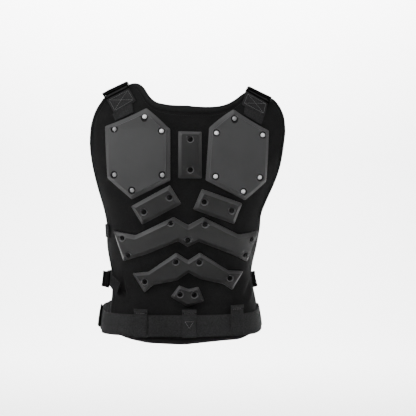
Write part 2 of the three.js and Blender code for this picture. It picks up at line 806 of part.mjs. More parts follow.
// Slides that close the belt at both sides. at: share of half the form's width.
for (const [name, at] of [["left", -0.975], ["right", 0.89]]) {
  const reach = beltWidth / 2 + clearance;
  const rungs = [-1, -0.5, 0, 0.5, 1].map((share) => {
    const s = (at * formWidth) / 2 + (share * beltSlideWidth) / 2;
    const rise = beltRise - beltDraw + webThick + 2 * clearance;
    const q = beltRaise - beltDrop;
    return { from: [s, q - reach], to: [s, q + reach], rise };
  });
  add(`belt_buckle_${name}`, webbing(rungs, slideThick, 1), "buckle");
}

// Belt loops behind. at: share of half the form's width. lift: share of the loop's length.
const loops = [
  { name: "left", at: -0.428, width: 1, lift: 0 },
  { name: "centre", at: 0.013, width: 1.1, lift: 0 },
  { name: "right", at: 0.449, width: 1, lift: 0.117 },
];
for (const { name, at, width, lift } of loops) {
  const middle = (at * formWidth) / 2;
  const half = (width * loopWidth) / 2;
  const top = -loopDown * vestHeight + loopLength * (0.5 + lift);
  const rungs = [0, 0.1, 0.4, 0.7, 1].map((share) => ({
    from: [middle - half, top - share * loopLength],
    to: [middle + half, top - share * loopLength],
    rise: beltRise + webThick + 2 * clearance,
    thick: share < 0.2 ? loopFold : webThick,
  }));
  add(`belt_loop_${name}`, webbing(rungs, webThick, 1), "web");
}

export default group;
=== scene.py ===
import math

import bmesh
import bpy
import numpy as np
from mathutils.geometry import delaunay_2d_cdt
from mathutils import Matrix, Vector


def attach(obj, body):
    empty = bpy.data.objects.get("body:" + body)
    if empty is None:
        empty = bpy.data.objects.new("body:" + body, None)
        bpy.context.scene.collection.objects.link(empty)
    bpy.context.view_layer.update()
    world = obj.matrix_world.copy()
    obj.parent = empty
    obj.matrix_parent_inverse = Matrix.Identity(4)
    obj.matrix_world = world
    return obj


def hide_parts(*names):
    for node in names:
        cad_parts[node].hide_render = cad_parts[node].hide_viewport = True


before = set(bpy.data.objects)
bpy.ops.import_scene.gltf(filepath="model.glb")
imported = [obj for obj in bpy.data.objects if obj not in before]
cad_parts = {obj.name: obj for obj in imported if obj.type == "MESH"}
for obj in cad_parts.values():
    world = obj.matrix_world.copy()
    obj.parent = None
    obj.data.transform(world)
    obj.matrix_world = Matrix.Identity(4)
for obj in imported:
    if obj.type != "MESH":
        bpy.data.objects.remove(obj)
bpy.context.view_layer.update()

# Sizes in millimetres, as in the CAD part; the tables below hold shares of the height, width and depth
MM = 0.001
VEST_HEIGHT = 571.0
FORM_WIDTH = 472.0
FORM_DEPTH = 240.0
SIDE_SWAY = 18.0
DOME_HEIGHT = 100.0
SLOPE = math.tan(math.radians(23.0))
RIDGE_OFFSET = 167.0
ROLL = 0.041
ROLL_REACH = 330.0
CLOTH = 6.0
TAPE = 1.2
WEB = 2.0
GAP = 0.5
PLATE_RISE = 9.0
PLATE_RIM = 3.0
OVER_CLOTH = CLOTH + 2 * GAP + TAPE

# down, width, back, front, sway, square
SECTIONS = [
    (0.175, 0.985, 0.458, 0.417, 0.0, 0.05),
    (0.27, 0.949, 0.492, 0.517, 0.183, 0.05),
    (0.36, 0.8883, 0.5, 0.542, 0.285, 0.045),
    (0.455, 0.8013, 0.483, 0.525, 0.38, 0.04),
    (0.55, 0.7344, 0.45, 0.488, 0.533, 0.035),
    (0.63, 0.7033, 0.413, 0.458, 0.75, 0.03),
    (0.74, 0.6681, 0.392, 0.433, 1.0, 0.03),
    (0.84, 0.7105, 0.408, 0.433, 1.0, 0.035),
    (0.93, 0.752, 0.438, 0.446, 1.0, 0.04),
    (1.0, 0.765, 0.458, 0.45, 1.0, 0.04),
]
# down, left, right
BACK_SIDES = [
    (0.0, -0.76, 0.81), (0.044, -0.788, 0.89), (0.1, -0.888, 0.945),
    (0.172, -0.947, 0.957), (0.236, -0.975, 0.95), (0.325, -0.961, 0.939),
    (0.39, -0.935, 0.879), (0.432, -0.924, 0.825), (0.507, -0.867, 0.74),
    (0.566, -0.859, 0.808), (0.61, -0.913, 0.806), (0.672, -0.858, 0.785),
    (0.715, -0.795, 0.79), (0.755, -0.765, 0.728), (0.83, -0.738, 0.77),
    (0.875, -0.758, 0.8), (0.92, -0.755, 0.76), (1.0, -0.69, 0.63),
]
BACK_TOP = [
    (0.0, 0.044), (0.14, 0.008), (0.185, 0.018), (0.225, 0.042),
    (0.265, 0.076), (0.32, 0.106), (0.4, 0.119), (0.5, 0.125),
    (0.6, 0.119), (0.67, 0.107), (0.725, 0.082), (0.765, 0.053),
    (0.8, 0.033), (0.85, 0.014), (1.0, 0.01),
]
BACK_HEM = [
    (0.0, 0.96), (0.12, 0.982), (0.25, 0.995), (0.42, 0.998),
    (0.5, 0.999), (0.75, 0.987), (0.88, 0.985), (1.0, 0.96),
]
FRONT_SIDES = [
    (0.0, -0.8, 0.84), (0.1, -0.77, 0.82), (0.25, -0.7, 0.7), (0.4, -0.8, 0.8),
    (0.55, -0.76, 0.76), (0.8, -0.7, 0.7), (1.0, -0.72, 0.72),
]
FRONT_TOP = [
    (0.0, 0.1), (0.2, 0.09), (0.28, 0.13), (0.38, 0.185), (0.5, 0.2),
    (0.62, 0.185), (0.72, 0.13), (0.8, 0.09), (1.0, 0.1),
]
FRONT_HEM = [(0.0, 0.955), (0.5, 0.99), (1.0, 0.955)]

# Camera: distance and eye height in metres, a pixel in millimetres, and places in the photo in pixels
CAMERA_AWAY = 2.3
EYE_HEIGHT = -0.205
SENSOR = 36.0
PHOTO_SIZE = 416
PIXEL = 2.3
MIDDLE_ACROSS = 187.7
EYE_DOWN = 177
camera_data = bpy.data.cameras.new("camera")
camera_data.sensor_width = SENSOR
camera_data.lens = SENSOR * CAMERA_AWAY / (PHOTO_SIZE * PIXEL * MM)
camera_data.shift_x = (PHOTO_SIZE / 2 - MIDDLE_ACROSS) / PHOTO_SIZE
camera_data.shift_y = -(PHOTO_SIZE / 2 - EYE_DOWN) / PHOTO_SIZE
camera = bpy.data.objects.new("camera", camera_data)
camera.location = (0, -CAMERA_AWAY, EYE_HEIGHT)
camera.rotation_euler = (math.radians(90), 0, 0)
bpy.context.scene.collection.objects.link(camera)
bpy.context.scene.camera = camera


def material(name):
    made = bpy.data.materials.new(name)
    made.use_nodes = True
    return made, made.node_tree, made.node_tree.nodes["Principled BSDF"]


def node(tree, kind, **values):
    made = tree.nodes.new(kind)
    for key, value in values.items():
        if hasattr(made, key):
            setattr(made, key, value)
        else:
            made.inputs[key.replace("_", " ")].default_value = value
    return made


def build(name, points, faces, uvs=None, flat_angle=None):
    """A mesh object from points in millimetres, and a place on the cloth for each point."""
    mesh = bpy.data.meshes.new(name)
    mesh.from_pydata([tuple(p) for p in np.asarray(points) * MM], [], [tuple(f) for f in faces])
    mesh.validate()
    if uvs is not None:
        layer = mesh.uv_layers.new(name="cloth")
        loops = np.empty(len(mesh.loops), dtype=np.int32)
        mesh.loops.foreach_get("vertex_index", loops)
        layer.data.foreach_set("uv", (np.asarray(uvs)[loops] * 0.01).astype(np.float32).ravel())
    mesh.shade_smooth()
    obj = bpy.data.objects.new(name, mesh)
    bpy.context.scene.collection.objects.link(obj)
    if flat_angle is not None:
        sharp_edges(mesh, flat_angle)
    return obj


def sharp_edges(mesh, angle):
    """Marks the edges whose two faces meet at more than an angle."""
    work = bmesh.new()
    work.from_mesh(mesh)
    work.normal_update()
    limit = math.radians(angle)
    for edge in work.edges:
        if len(edge.link_faces) == 2 and edge.calc_face_angle(0.0) > limit:
            edge.smooth = False
    work.to_mesh(mesh)
    work.free()


# Floor and wall, in metres
FLOOR_LEVEL = -1.0
WALL_AWAY = 3.0
WALL_TOP = 5.0
WALL_BEND = 0.9
FLOOR_REACH = 7.0


def floor_sweep():
    """A pale floor that turns up into a wall behind the vest."""
    bend = WALL_AWAY - WALL_BEND
    profile = [(-4.0, FLOOR_LEVEL), (bend, FLOOR_LEVEL)]
    for turn in np.radians(np.linspace(7.5, 90, 12)):
        profile.append((bend + WALL_BEND * math.sin(turn), FLOOR_LEVEL + WALL_BEND * (1 - math.cos(turn))))
    profile.append((WALL_AWAY, WALL_TOP))
    points = [(x / MM, y / MM, z / MM) for y, z in profile for x in (-FLOOR_REACH, FLOOR_REACH)]
    faces = [(2 * i, 2 * i + 1, 2 * i + 3, 2 * i + 2) for i in range(len(profile) - 1)]
    made = build("floor", points, faces)
    paint, _, shader = material("floor_white")
    shader.inputs["Base Color"].default_value = (0.93, 0.93, 0.93, 1.0)
    shader.inputs["Roughness"].default_value = 0.9
    made.data.materials.append(paint)
    return made


floor_sweep()


def area_light(name, place, aim, wide, tall, power):
    data = bpy.data.lights.new(name, "AREA")
    data.shape = "RECTANGLE"
    data.size = wide
    data.size_y = tall
    data.energy = power
    obj = bpy.data.objects.new(name, data)
    obj.location = place
    obj.rotation_euler = (Vector(aim) - Vector(place)).to_track_quat("-Z", "Y").to_euler()
    bpy.context.scene.collection.objects.link(obj)


area_light("key", (-2.1, -0.95, 0.85), (0, 0, -0.25), 1.0, 1.2, 36)
area_light("fill", (2.1, -0.95, 0.8), (0, 0, -0.3), 1.0, 1.2, 17)
area_light("top", (-0.2, -0.85, 1.7), (0, -0.05, -0.25), 1.6, 0.7, 24)
area_light("front", (-0.7, -2.4, 0.7), (0, 0, -0.3), 1.2, 1.0, 9)
area_light("wall", (0, 1.5, 1.7), (0, WALL_AWAY, 0.6), 4.0, 0.8, 560)
world = bpy.data.worlds.new("studio")
world.use_nodes = True
world.node_tree.nodes["Background"].inputs[0].default_value = (1, 1, 1, 1)
world.node_tree.nodes["Background"].inputs[1].default_value = 0.12
bpy.context.scene.world = world

# The form that the cloth lies on
LEVELS = np.array([-row[0] * VEST_HEIGHT for row in reversed(SECTIONS)])
VALUES = np.array([
    (row[1] * FORM_WIDTH / 2, row[2] * FORM_DEPTH, row[3] * FORM_DEPTH, -row[4] * SIDE_SWAY, row[5])
    for row in reversed(SECTIONS)
])
DOME_START = float(LEVELS[-1])
DOME_SPAN = DOME_HEIGHT * math.pi / 2


def section(height):
    """Cubic values of the section table, as the CAD part reads it."""
    z = np.clip(height, -VEST_HEIGHT, DOME_START)
    i1 = np.clip(np.searchsorted(LEVELS, z, side="right"), 1, len(LEVELS) - 1)
    i0 = i1 - 1
    t0, t1 = LEVELS[i0], LEVELS[i1]
    before = np.where(i0 > 0, i0 - 1, i1)
    after = np.where(i1 < len(LEVELS) - 1, i1 + 1, i0)
    half = (t1 - t0) / 2
    wp = (half / (t0 - LEVELS[before]))[..., None]
    wn = (half / (LEVELS[after] - t1))[..., None]
    p = ((z - t0) / (t1 - t0))[..., None]
    p2, p3 = p * p, p * p * p
    value = (-wp * p3 + 2 * wp * p2 - wp * p) * VALUES[before]
    value += ((1 + wp) * p3 + (-1.5 - 2 * wp) * p2 + (-0.5 + wp) * p + 1) * VALUES[i0]
    value += ((-1 - wn) * p3 + (1.5 + wn) * p2 + 0.5 * p) * VALUES[i1]
    value += (wn * p3 - wn * p2) * VALUES[after]
    return value


def form_point(turn, height):
    """A point of the form by the turn round it, from the middle of the back, and the level."""
    row = section(height)
    width, back, front, sway, square = (row[..., k] for k in range(5))
    across = (np.sin(turn) + square * np.sin(3 * turn)) / (1 - square)
    deep = (np.cos(turn) - square * np.cos(3 * turn)) / (1 - square)
    rise = np.maximum(0, height - DOME_START) / DOME_SPAN * (math.pi / 2)
    turned = deep * np.cos(rise)
    x = sway + width * across
    y = -turned * np.where(turned > 0, back, front)
    ridge = SLOPE * (RIDGE_OFFSET - np.abs(x))
    plain = np.where(rise > 0, DOME_START + (ridge - DOME_START) * np.sin(rise), height)
    tilt = np.maximum(0, 1 + plain / ROLL_REACH) ** 1.5
    return np.stack([x, y, plain - x * ROLL * tilt], axis=-1)


LEVEL_STEP = 2.0
LENGTH_STEP = 4.0
TABLE_LEVELS = np.arange(-VEST_HEIGHT, DOME_START + 1.0, LEVEL_STEP)
TABLE_LENGTHS = np.arange(-460.0, 461.0, LENGTH_STEP)


def turn_table(middle):
    """The turn at each level and each length along the form from a middle line."""
    turns = np.linspace(middle - math.pi, middle + math.pi, 1441)
    side = 1.0 if middle == 0 else -1.0
    rows = []
    for level in TABLE_LEVELS:
        spots = form_point(turns, np.full_like(turns, level))
        run = np.concatenate([[0], np.cumsum(np.hypot(*np.diff(spots[:, :2], axis=0).T))])
        near = np.abs(turns - middle) < 0.6
        zero = np.interp(0.0, spots[near, 0] * side, run[near])
        lengths = (run - zero) * side
        order = np.argsort(lengths)
        rows.append(np.interp(TABLE_LENGTHS, lengths[order], turns[order]))
    return np.array(rows)


TURNS = {0.0: turn_table(0.0), math.pi: turn_table(math.pi)}


def turn_at(length, height, middle=0.0):
    table = TURNS[middle]
    level = (np.minimum(height, DOME_START) - TABLE_LEVELS[0]) / LEVEL_STEP
    level = np.clip(level, 0, len(TABLE_LEVELS) - 1.001)
    along = np.clip((length - TABLE_LENGTHS[0]) / LENGTH_STEP, 0, len(TABLE_LENGTHS) - 1.001)
    r, c = level.astype(int), along.astype(int)
    fr, fc = level - r, along - c
    low = table[r, c] * (1 - fc) + table[r, c + 1] * fc
    high = table[r + 1, c] * (1 - fc) + table[r + 1, c + 1] * fc
    return low * (1 - fr) + high * fr


def normal_at(turn, height):
    round_ = form_point(turn + 0.002, height) - form_point(turn - 0.002, height)
    up = form_point(turn, height + 0.5) - form_point(turn, height - 0.5)
    out = np.cross(round_, up)
    return out / np.linalg.norm(out, axis=-1, keepdims=True)


def place(s, q, rise, middle=0.0):
    """Points by length across from a middle line, level, and rise off the form."""
    s, q, rise = np.broadcast_arrays(np.asarray(s, float), np.asarray(q, float), np.asarray(rise, float))
    turn = turn_at(s, q, middle)
    return form_point(turn, q) + normal_at(turn, q) * rise[..., None]


def smooth_rows(rows, column, at):
    """A table column read with a gentle curve instead of straight lines."""
    places = np.array([row[0] for row in rows])
    values = np.array([row[column] for row in rows])
    total = 0
    for shift, weight in ((-0.022, 0.2), (-0.011, 0.2), (0.0, 0.2), (0.011, 0.2), (0.022, 0.2)):
        total = total + weight * np.interp(at + shift, places, values)
    return total


def panel_places(sides, top, hem, columns, rows):
    """A grid of places within a panel's sides, top and hem."""
    across = np.linspace(0, 1, columns)[None, :]
    up = np.linspace(0, 1, rows)[:, None]
    low = smooth_rows(hem, 1, across)
    high = smooth_rows(top, 1, across)
    down = low * (1 - up) + high * up
    left = smooth_rows(sides, 1, down)
    right = smooth_rows(sides, 2, down)
    s = FORM_WIDTH / 2 * (left * (1 - across) + right * across)
    return s, -down * VEST_HEIGHT


def slab_faces(rows, columns):
    """Faces of a slab whose lower grid of points comes before its upper one."""
    count = rows * columns
    index = np.arange(count).reshape(rows, columns)
    a, b = index[:-1, :-1].ravel(), index[:-1, 1:].ravel()
    c, d = index[1:, 1:].ravel(), index[1:, :-1].ravel()
    faces = np.concatenate([np.stack([a, b, c, d], 1) + count, np.stack([a, d, c, b], 1)]).tolist()
    loop = list(index[0, :-1]) + list(index[:-1, -1]) + list(index[-1, :0:-1]) + list(index[:0:-1, 0])
    for k, first in enumerate(loop):
        second = loop[(k + 1) % len(loop)]
        faces.append([int(first), int(second), int(second) + count, int(first) + count])
    return faces


def slab(name, s, q, low, high, middle):
    """A closed slab over a grid of places, from a lower rise to an upper one."""
    rows, columns = s.shape
    low = np.broadcast_to(low, s.shape)
    high = np.broadcast_to(high, s.shape)
    under = place(s, q, low, middle).reshape(-1, 3)
    over = place(s, q, high, middle).reshape(-1, 3)
    faces = slab_faces(rows, columns)
    if middle != 0.0:
        faces = [face[::-1] for face in faces]
    uv = np.stack([s.ravel(), q.ravel()], 1)
    return build(name, np.concatenate([under, over]), faces, np.tile(uv, (2, 1)))


def edge_distance(s, q):
    """Each place's distance to the nearest edge of its grid, in millimetres."""
    loop = np.concatenate([
        np.stack([s[0], q[0]], 1), np.stack([s[-1], q[-1]], 1),
        np.stack([s[:, 0], q[:, 0]], 1), np.stack([s[:, -1], q[:, -1]], 1),
    ])
    spots = np.stack([s.ravel(), q.ravel()], 1)
    best = np.full(len(spots), 1e9)
    for start in range(0, len(loop), 40):
        part = loop[start:start + 40]
        gap = np.hypot(spots[:, None, 0] - part[None, :, 0], spots[:, None, 1] - part[None, :, 1])
        best = np.minimum(best, gap.min(axis=1))
    return best.reshape(s.shape)


def fold(s, q, start, end, width, depth):
    """A soft ridge, or a valley where the depth is below nought, along a line."""
    ax, ay = start
    bx, by = end[0] - ax, end[1] - ay
    span = bx * bx + by * by
    t = np.clip(((s - ax) * bx + (q - ay) * by) / span, 0, 1)
    gap = np.hypot(s - ax - t * bx, q - ay - t * by)
    fade = np.sin(np.clip(t, 0.04, 0.96) * math.pi) ** 0.6
    return depth * fade * np.exp(-(gap / width) ** 2)


# start, end, width, depth
BACK_FOLDS = [
    ((-174, -446), (-132, -466), 5, -5.0),
    ((-170, -464), (-128, -480), 5, 2.2),
    ((-146, -424), (-136, -486), 3.6, -3.2),
    ((-139, -426), (-129, -484), 3.6, 1.8),
    ((-196, -352), (-150, -330), 7, -1.6),
    ((160, -440), (128, -470), 5, -3.0),
    ((170, -452), (140, -486), 5, 2.0),
    ((186, -345), (150, -420), 8, -1.2),
    ((-60, -330), (60, -338), 14, -0.7),
    ((-120, -402), (-20, -372), 9, 0.9),
    ((20, -372), (118, -404), 9, 0.9),
    ((-70, -480), (90, -488), 12, -0.9),
    ((-30, -212), (28, -222), 10, -0.8),
]


def cloth_fill(s, q):
    """Slow unevenness of the padding."""
    wave = np.sin(s * 0.043 + q * 0.021 + 1.3) * np.sin(q * 0.037 - s * 0.012 + 0.4)
    fine = np.sin(s * 0.11 + q * 0.05) * np.sin(q * 0.093 - s * 0.031 + 2.0)
    return 0.35 * wave + 0.15 * fine


PAD_ROUND = 14.0
PAD_EDGE_LOW = 2.0
PAD_EDGE_HIGH = 3.6


def panel(name, sides, top, hem, middle, folds):
    """Padding that thins in a round edge, with its folds."""
    columns, rows = 120, 150
    s, q = panel_places(sides, top, hem, columns, rows)
    rim = edge_distance(s, q)
    body = np.clip(rim / PAD_ROUND, 0, 1)
    shape = np.sqrt(1 - (1 - body) ** 2)
    bump = cloth_fill(s, q)
    for start, end, width, depth in folds:
        bump = bump + fold(s, q, start, end, width, depth)
    high = PAD_EDGE_HIGH + shape * (CLOTH - PAD_EDGE_HIGH) + shape * bump
    low = PAD_EDGE_LOW - shape * PAD_EDGE_LOW
    return slab(name, s, q, low, high, middle)


def edge_path(sides, top, hem):
    """The places along a panel's edge, and the way inward at each."""
    columns, rows = 100, 120
    s, q = panel_places(sides, top, hem, columns, rows)
    loop = [(0, c) for c in range(columns - 1)] + [(r, columns - 1) for r in range(rows - 1)]
    loop += [(rows - 1, c) for c in range(columns - 1, 0, -1)] + [(r, 0) for r in range(rows - 1, 0, -1)]
    ring = np.array([(s[r, c], q[r, c]) for r, c in loop])
    for _ in range(2):
        ring = (np.roll(ring, 1, 0) + 2 * ring + np.roll(ring, -1, 0)) / 4
    ahead = np.roll(ring, -1, 0) - np.roll(ring, 1, 0)
    ahead /= np.linalg.norm(ahead, axis=1, keepdims=True)
    return ring, np.stack([-ahead[:, 1], ahead[:, 0]], 1)


# Outer and inner face of the tape: reach inward from the panel's edge, and rise
TAPE_OUTER = [
    (8.0, 6.75), (7.6, 7.3), (4.0, 7.1), (1.0, 6.6), (-0.9, 5.4), (-1.5, 3.2), (-0.9, 0.6), (1.0, -0.8),
    (4.0, -1.4), (8.0, -1.4),
]
TAPE_INNER = [(8.0, -0.5), (3.0, -0.4), (0.2, 1.8), (0.2, 4.2), (3.0, 5.6), (7.4, 6.3)]


def tape_ring(name, sides, top, hem):
    """Binding tape folded round a panel's edge, with a soft fold."""
    ring, inward = edge_path(sides, top, hem)
    length = np.concatenate([[0], np.cumsum(np.linalg.norm(np.diff(ring, axis=0), axis=1))])
    profile = TAPE_OUTER + TAPE_INNER
    points, uvs = [], []
    for along, rise in profile:
        spot = ring + inward * along
        points.append(place(spot[:, 0], spot[:, 1], np.full(len(ring), rise)))
        uvs.append(np.stack([length, np.full(len(ring), along + rise)], 1))
    points = np.stack(points, 1).reshape(-1, 3)
    uvs = np.stack(uvs, 1).reshape(-1, 2)
    size, count = len(profile), len(ring)
    faces = []
    for k in range(count):
        a, b = k * size, ((k + 1) % count) * size
        for side in range(size):
            nxt = (side + 1) % size
            faces.append((a + side, b + side, b + nxt, a + nxt))
    return build(name, points, faces, uvs, flat_angle=60)


THREAD_SIDES = 5
THREAD_RINGS = ((0, 0.45), (1, 1.0), (2, 0.45))


def stitches(name, runs, rise, pitch=3.8, length=3.0, radius=0.6):
    """Short threads along lines of places, all in one mesh; a place may carry its own rise."""
    spots, lift = [], []
    for run in runs:
        run = np.asarray(run, float)
        steps = np.concatenate([[0], np.cumsum(np.linalg.norm(np.diff(run, axis=0), axis=1))])
        at = np.arange(pitch / 2, steps[-1], pitch)[:, None] + np.array([-length / 2, 0, length / 2])
        spots.append(np.stack([np.interp(at, steps, run[:, 0]), np.interp(at, steps, run[:, 1])], 2))
        own = np.interp(at, steps, run[:, 2]) if run.shape[1] == 3 else np.full(at.shape, float(rise))
        lift.append(own + np.array([-0.1, 0.25, -0.1]))
    spots, lift = np.concatenate(spots), np.concatenate(lift)
    core = place(spots[..., 0], spots[..., 1], lift)
    axis = core[:, 2] - core[:, 0]
    axis /= np.linalg.norm(axis, axis=1, keepdims=True)
    out = core[:, 1] - (core[:, 0] + core[:, 2]) / 2
    out /= np.linalg.norm(out, axis=1, keepdims=True) + 1e-9
    side = np.cross(axis, out)
    angles = np.arange(THREAD_SIDES) * 2 * math.pi / THREAD_SIDES
    circle = np.cos(angles)[None, :, None] * out[:, None] + np.sin(angles)[None, :, None] * side[:, None]
    rings = [core[:, k, None] + radius * scale * circle for k, scale in THREAD_RINGS]
    points = np.stack(rings, 1).reshape(-1, 3)
    faces = []
    for base in range(0, len(points), len(THREAD_RINGS) * THREAD_SIDES):
        for ring in range(2):
            for turn in range(THREAD_SIDES):
                a = base + ring * THREAD_SIDES + turn
                b = base + ring * THREAD_SIDES + (turn + 1) % THREAD_SIDES
                faces.append((a, a + THREAD_SIDES, b + THREAD_SIDES, b))
        faces.append(tuple(base + k for k in range(THREAD_SIDES)))
        faces.append(tuple(base + 2 * THREAD_SIDES + k for k in reversed(range(THREAD_SIDES))))
    return build(name, points, faces)


def finish_piece(obj, paint, slot, *nodes):
    """Paints a piece, sets it under the root body and hides the CAD nodes that it stands for; the slot is not
    used.
    """
    obj.data.materials.append(paint)
    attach(obj, "root")
    if nodes:
        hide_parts(*nodes)
    return obj


def join(tree, operation, first, second):
    """One number made of two, by a Math node."""
    made = node(tree, "ShaderNodeMath", operation=operation)
    tree.links.new(first, made.inputs[0])
    tree.links.new(second, made.inputs[1])
    return made.outputs[0]


def remap(tree, value, low, high, to_low, to_high):
    made = node(tree, "ShaderNodeMapRange", From_Min=low, From_Max=high, To_Min=to_low, To_Max=to_high)
    tree.links.new(value, made.inputs["Value"])
    return made.outputs[0]


def noise(tree, **values):
    """Noise that stays with the object."""
    coord = node(tree, "ShaderNodeTexCoord")
    made = node(tree, "ShaderNodeTexNoise", **values)
    tree.links.new(coord.outputs["Object"], made.inputs["Vector"])
    return made.outputs["Fac"]


def thread_rows(tree, direction, scale):
    """Rows of threads on the cloth's own places."""
    uv = node(tree, "ShaderNodeUVMap", uv_map="cloth")
    made = node(
        tree, "ShaderNodeTexWave", wave_type="BANDS", bands_direction=direction, Scale=scale, Distortion=0.6,
        Detail=1.0)
    tree.links.new(uv.outputs[0], made.inputs["Vector"])
    return made.outputs["Fac"]


def finish_paint(tree, shader, tint, tone, height, strength, distance):
    """Gives a shader its colour, a tint times a varying tone, and its relief."""
    colour = node(tree, "ShaderNodeVectorMath", operation="SCALE")
    colour.inputs[0].default_value = tint
    tree.links.new(tone, colour.inputs["Scale"])
    tree.links.new(colour.outputs[0], shader.inputs["Base Color"])
    relief = node(tree, "ShaderNodeBump", Strength=strength, Distance=distance)
    tree.links.new(height, relief.inputs["Height"])
    tree.links.new(relief.outputs[0], shader.inputs["Normal"])


def cloth_paint(name, tone, weave, bump, rough, across=1.0, sheen=0.12, level=0.28):
    """Woven cloth: two crossed rows of threads, a short nap, and slow changes of tone."""
    paint, tree, shader = material(name)
    thread = node(tree, "ShaderNodeMix", data_type="FLOAT")
    thread.inputs[0].default_value = 0.5
    tree.links.new(thread_rows(tree, "X", weave), thread.inputs[2])
    tree.links.new(thread_rows(tree, "Y", weave * across), thread.inputs[3])
    fuzz = noise(tree, Scale=420.0, Detail=3.0, Roughness=0.7)
    wear = remap(tree, noise(tree, Scale=9.0, Detail=4.0), 0.3, 0.7, 0.8, 1.25)
    nap = remap(tree, fuzz, 0.35, 0.65, 0.7, 1.35)
    shade = remap(tree, thread.outputs[0], 0.0, 1.0, 0.75, 1.15)
    varying = join(tree, "MULTIPLY", join(tree, "MULTIPLY", wear, nap), shade)
    height = join(tree, "ADD", thread.outputs[0], fuzz)
    finish_paint(tree, shader, (tone, tone, tone * 1.03), varying, height, bump, 0.0004)
    shader.inputs["Roughness"].default_value = rough
    shader.inputs["Specular IOR Level"].default_value = level
    shader.inputs["Sheen Weight"].default_value = sheen
    shader.inputs["Sheen Roughness"].default_value = 0.5
    return paint


def slope_shade(tree, upper, under):
    """Painted shade, after the photo's light from above: one tone for slopes that face up, one for down."""
    surface = node(tree, "ShaderNodeNewGeometry")
    facing = node(tree, "ShaderNodeSeparateXYZ")
    tree.links.new(surface.outputs["Normal"], facing.inputs[0])
    above = remap(tree, facing.outputs["Z"], 0.3, 0.55, 1.0, upper)
    below = remap(tree, facing.outputs["Z"], -0.6, -0.35, under, 1.0)
    return join(tree, "MULTIPLY", above, below)


def plastic_paint(name, tone, rough, grain, scratch=0.0, metal=0.0, level=0.5, upper=1.0, under=1.0):
    """A moulded surface: fine grain, slow changes of tone and gloss, and the painted shade of its slopes."""
    paint, tree, shader = material(name)
    slow = noise(tree, Scale=14.0, Detail=5.0, Roughness=0.6)
    spread = remap(tree, slow, 0.25, 0.75, 0.88, 1.12)
    varying = join(tree, "MULTIPLY", slope_shade(tree, upper, under), spread)
    fine = noise(tree, Scale=1400.0, Detail=2.0)
    finish_paint(tree, shader, (tone, tone, tone * 1.02), varying, fine, grain, 0.0003)
    rubbed = remap(tree, slow, 0.3, 0.75, rough - 0.05, rough + 0.08 + scratch)
    tree.links.new(rubbed, shader.inputs["Roughness"])
    shader.inputs["Metallic"].default_value = metal
    shader.inputs["Specular IOR Level"].default_value = level
    return paint


CLOTH_PAINT = cloth_paint("cloth", 0.007, 26.0, 0.35, 0.9, sheen=0.02, level=0.16)
TAPE_PAINT = cloth_paint("tape", 0.008, 40.0, 0.4, 0.8, sheen=0.02, level=0.16)
WEB_PAINT = cloth_paint("webbing", 0.022, 17.0, 0.6, 0.85, across=2.1, sheen=0.03, level=0.12)
THREAD_PAINT = plastic_paint("thread", 0.11, 0.6, 0.2, level=0.3)
# Dark thread: the real stitches by the panel's edge, and dark lines laid along the anchors and belt loops as
# painted shade
DARK_THREAD_AND_SHADE_PAINT = plastic_paint("dark_thread_and_painted_shade", 0.012, 0.6, 0.2, level=0.2)
# upper and under are painted shade: how much lighter the slopes facing up, and how much darker those facing
# down, are painted
BIG_PLATE_PAINT = plastic_paint("scapula_plastic", 0.05, 0.5, 0.12, 0.05, level=0.34, upper=1.05, under=0.3)
PLATE_PAINT = plastic_paint("plate_plastic", 0.0155, 0.42, 0.12, 0.05, level=0.38, upper=2.6, under=0.15)
# Near-black paint for the rivet plates' seat faces: painted shade of the recess
RIVET_SEAT_SHADE_PAINT = plastic_paint("rivet_seat_painted_shade", 0.006, 0.5, 0.1, 0.05, level=0.2)
# Pale paint for the screw plates' seat faces, well above the plate's own tone: a painted highlight round each
# screw
SCREW_SEAT_HIGHLIGHT_PAINT = plastic_paint("screw_seat_painted_highlight", 0.08, 0.3, 0.05, upper=1.6, under=0.4)
BUCKLE_PAINT = plastic_paint("buckle_plastic", 0.003, 0.2, 0.02, level=0.25)
SIDE_BUCKLE_PAINT = plastic_paint("side_buckle_plastic", 0.003, 0.6, 0.03, level=0.03)
DARK_WEB_PAINT = cloth_paint("dark_webbing", 0.014, 17.0, 0.6, 0.85, across=2.1, sheen=0.0, level=0.03)
# Two copies of one rivet metal: white, the own silver with a painted highlight, and grey, as painted shade
RIVET_HIGHLIGHT_PAINT = plastic_paint("rivet_metal_painted_highlight", 0.97, 0.3, 0.03, metal=0.1, under=0.3)
RIVET_SHADE_PAINT = plastic_paint("rivet_metal_painted_shade", 0.36, 0.3, 0.03, metal=0.5)
SCREW_PAINT = plastic_paint("screw_metal", 0.0015, 0.25, 0.02, level=0.15)

back = panel("back_padding", BACK_SIDES, BACK_TOP, BACK_HEM, 0.0, BACK_FOLDS)
finish_piece(back, CLOTH_PAINT, "cloth", "back_panel")
front = panel("front_padding", FRONT_SIDES, FRONT_TOP, FRONT_HEM, math.pi, [])
finish_piece(front, CLOTH_PAINT, "cloth", "front_panel")
back_tape = tape_ring("back_tape", BACK_SIDES, BACK_TOP, BACK_HEM)
finish_piece(back_tape, TAPE_PAINT, "tape", "back_binding")

EDGE_SEAM = 12.5
edge_spots, edge_inward = edge_path(BACK_SIDES, BACK_TOP, BACK_HEM)
edge_line = edge_spots + edge_inward * EDGE_SEAM
edge_line = np.concatenate([edge_line, edge_line[:1]])
edge_threads = stitches("back_edge_thread", [edge_line], CLOTH + 0.1, pitch=4.2, radius=0.4)
finish_piece(edge_threads, DARK_THREAD_AND_SHADE_PAINT, "webbing")

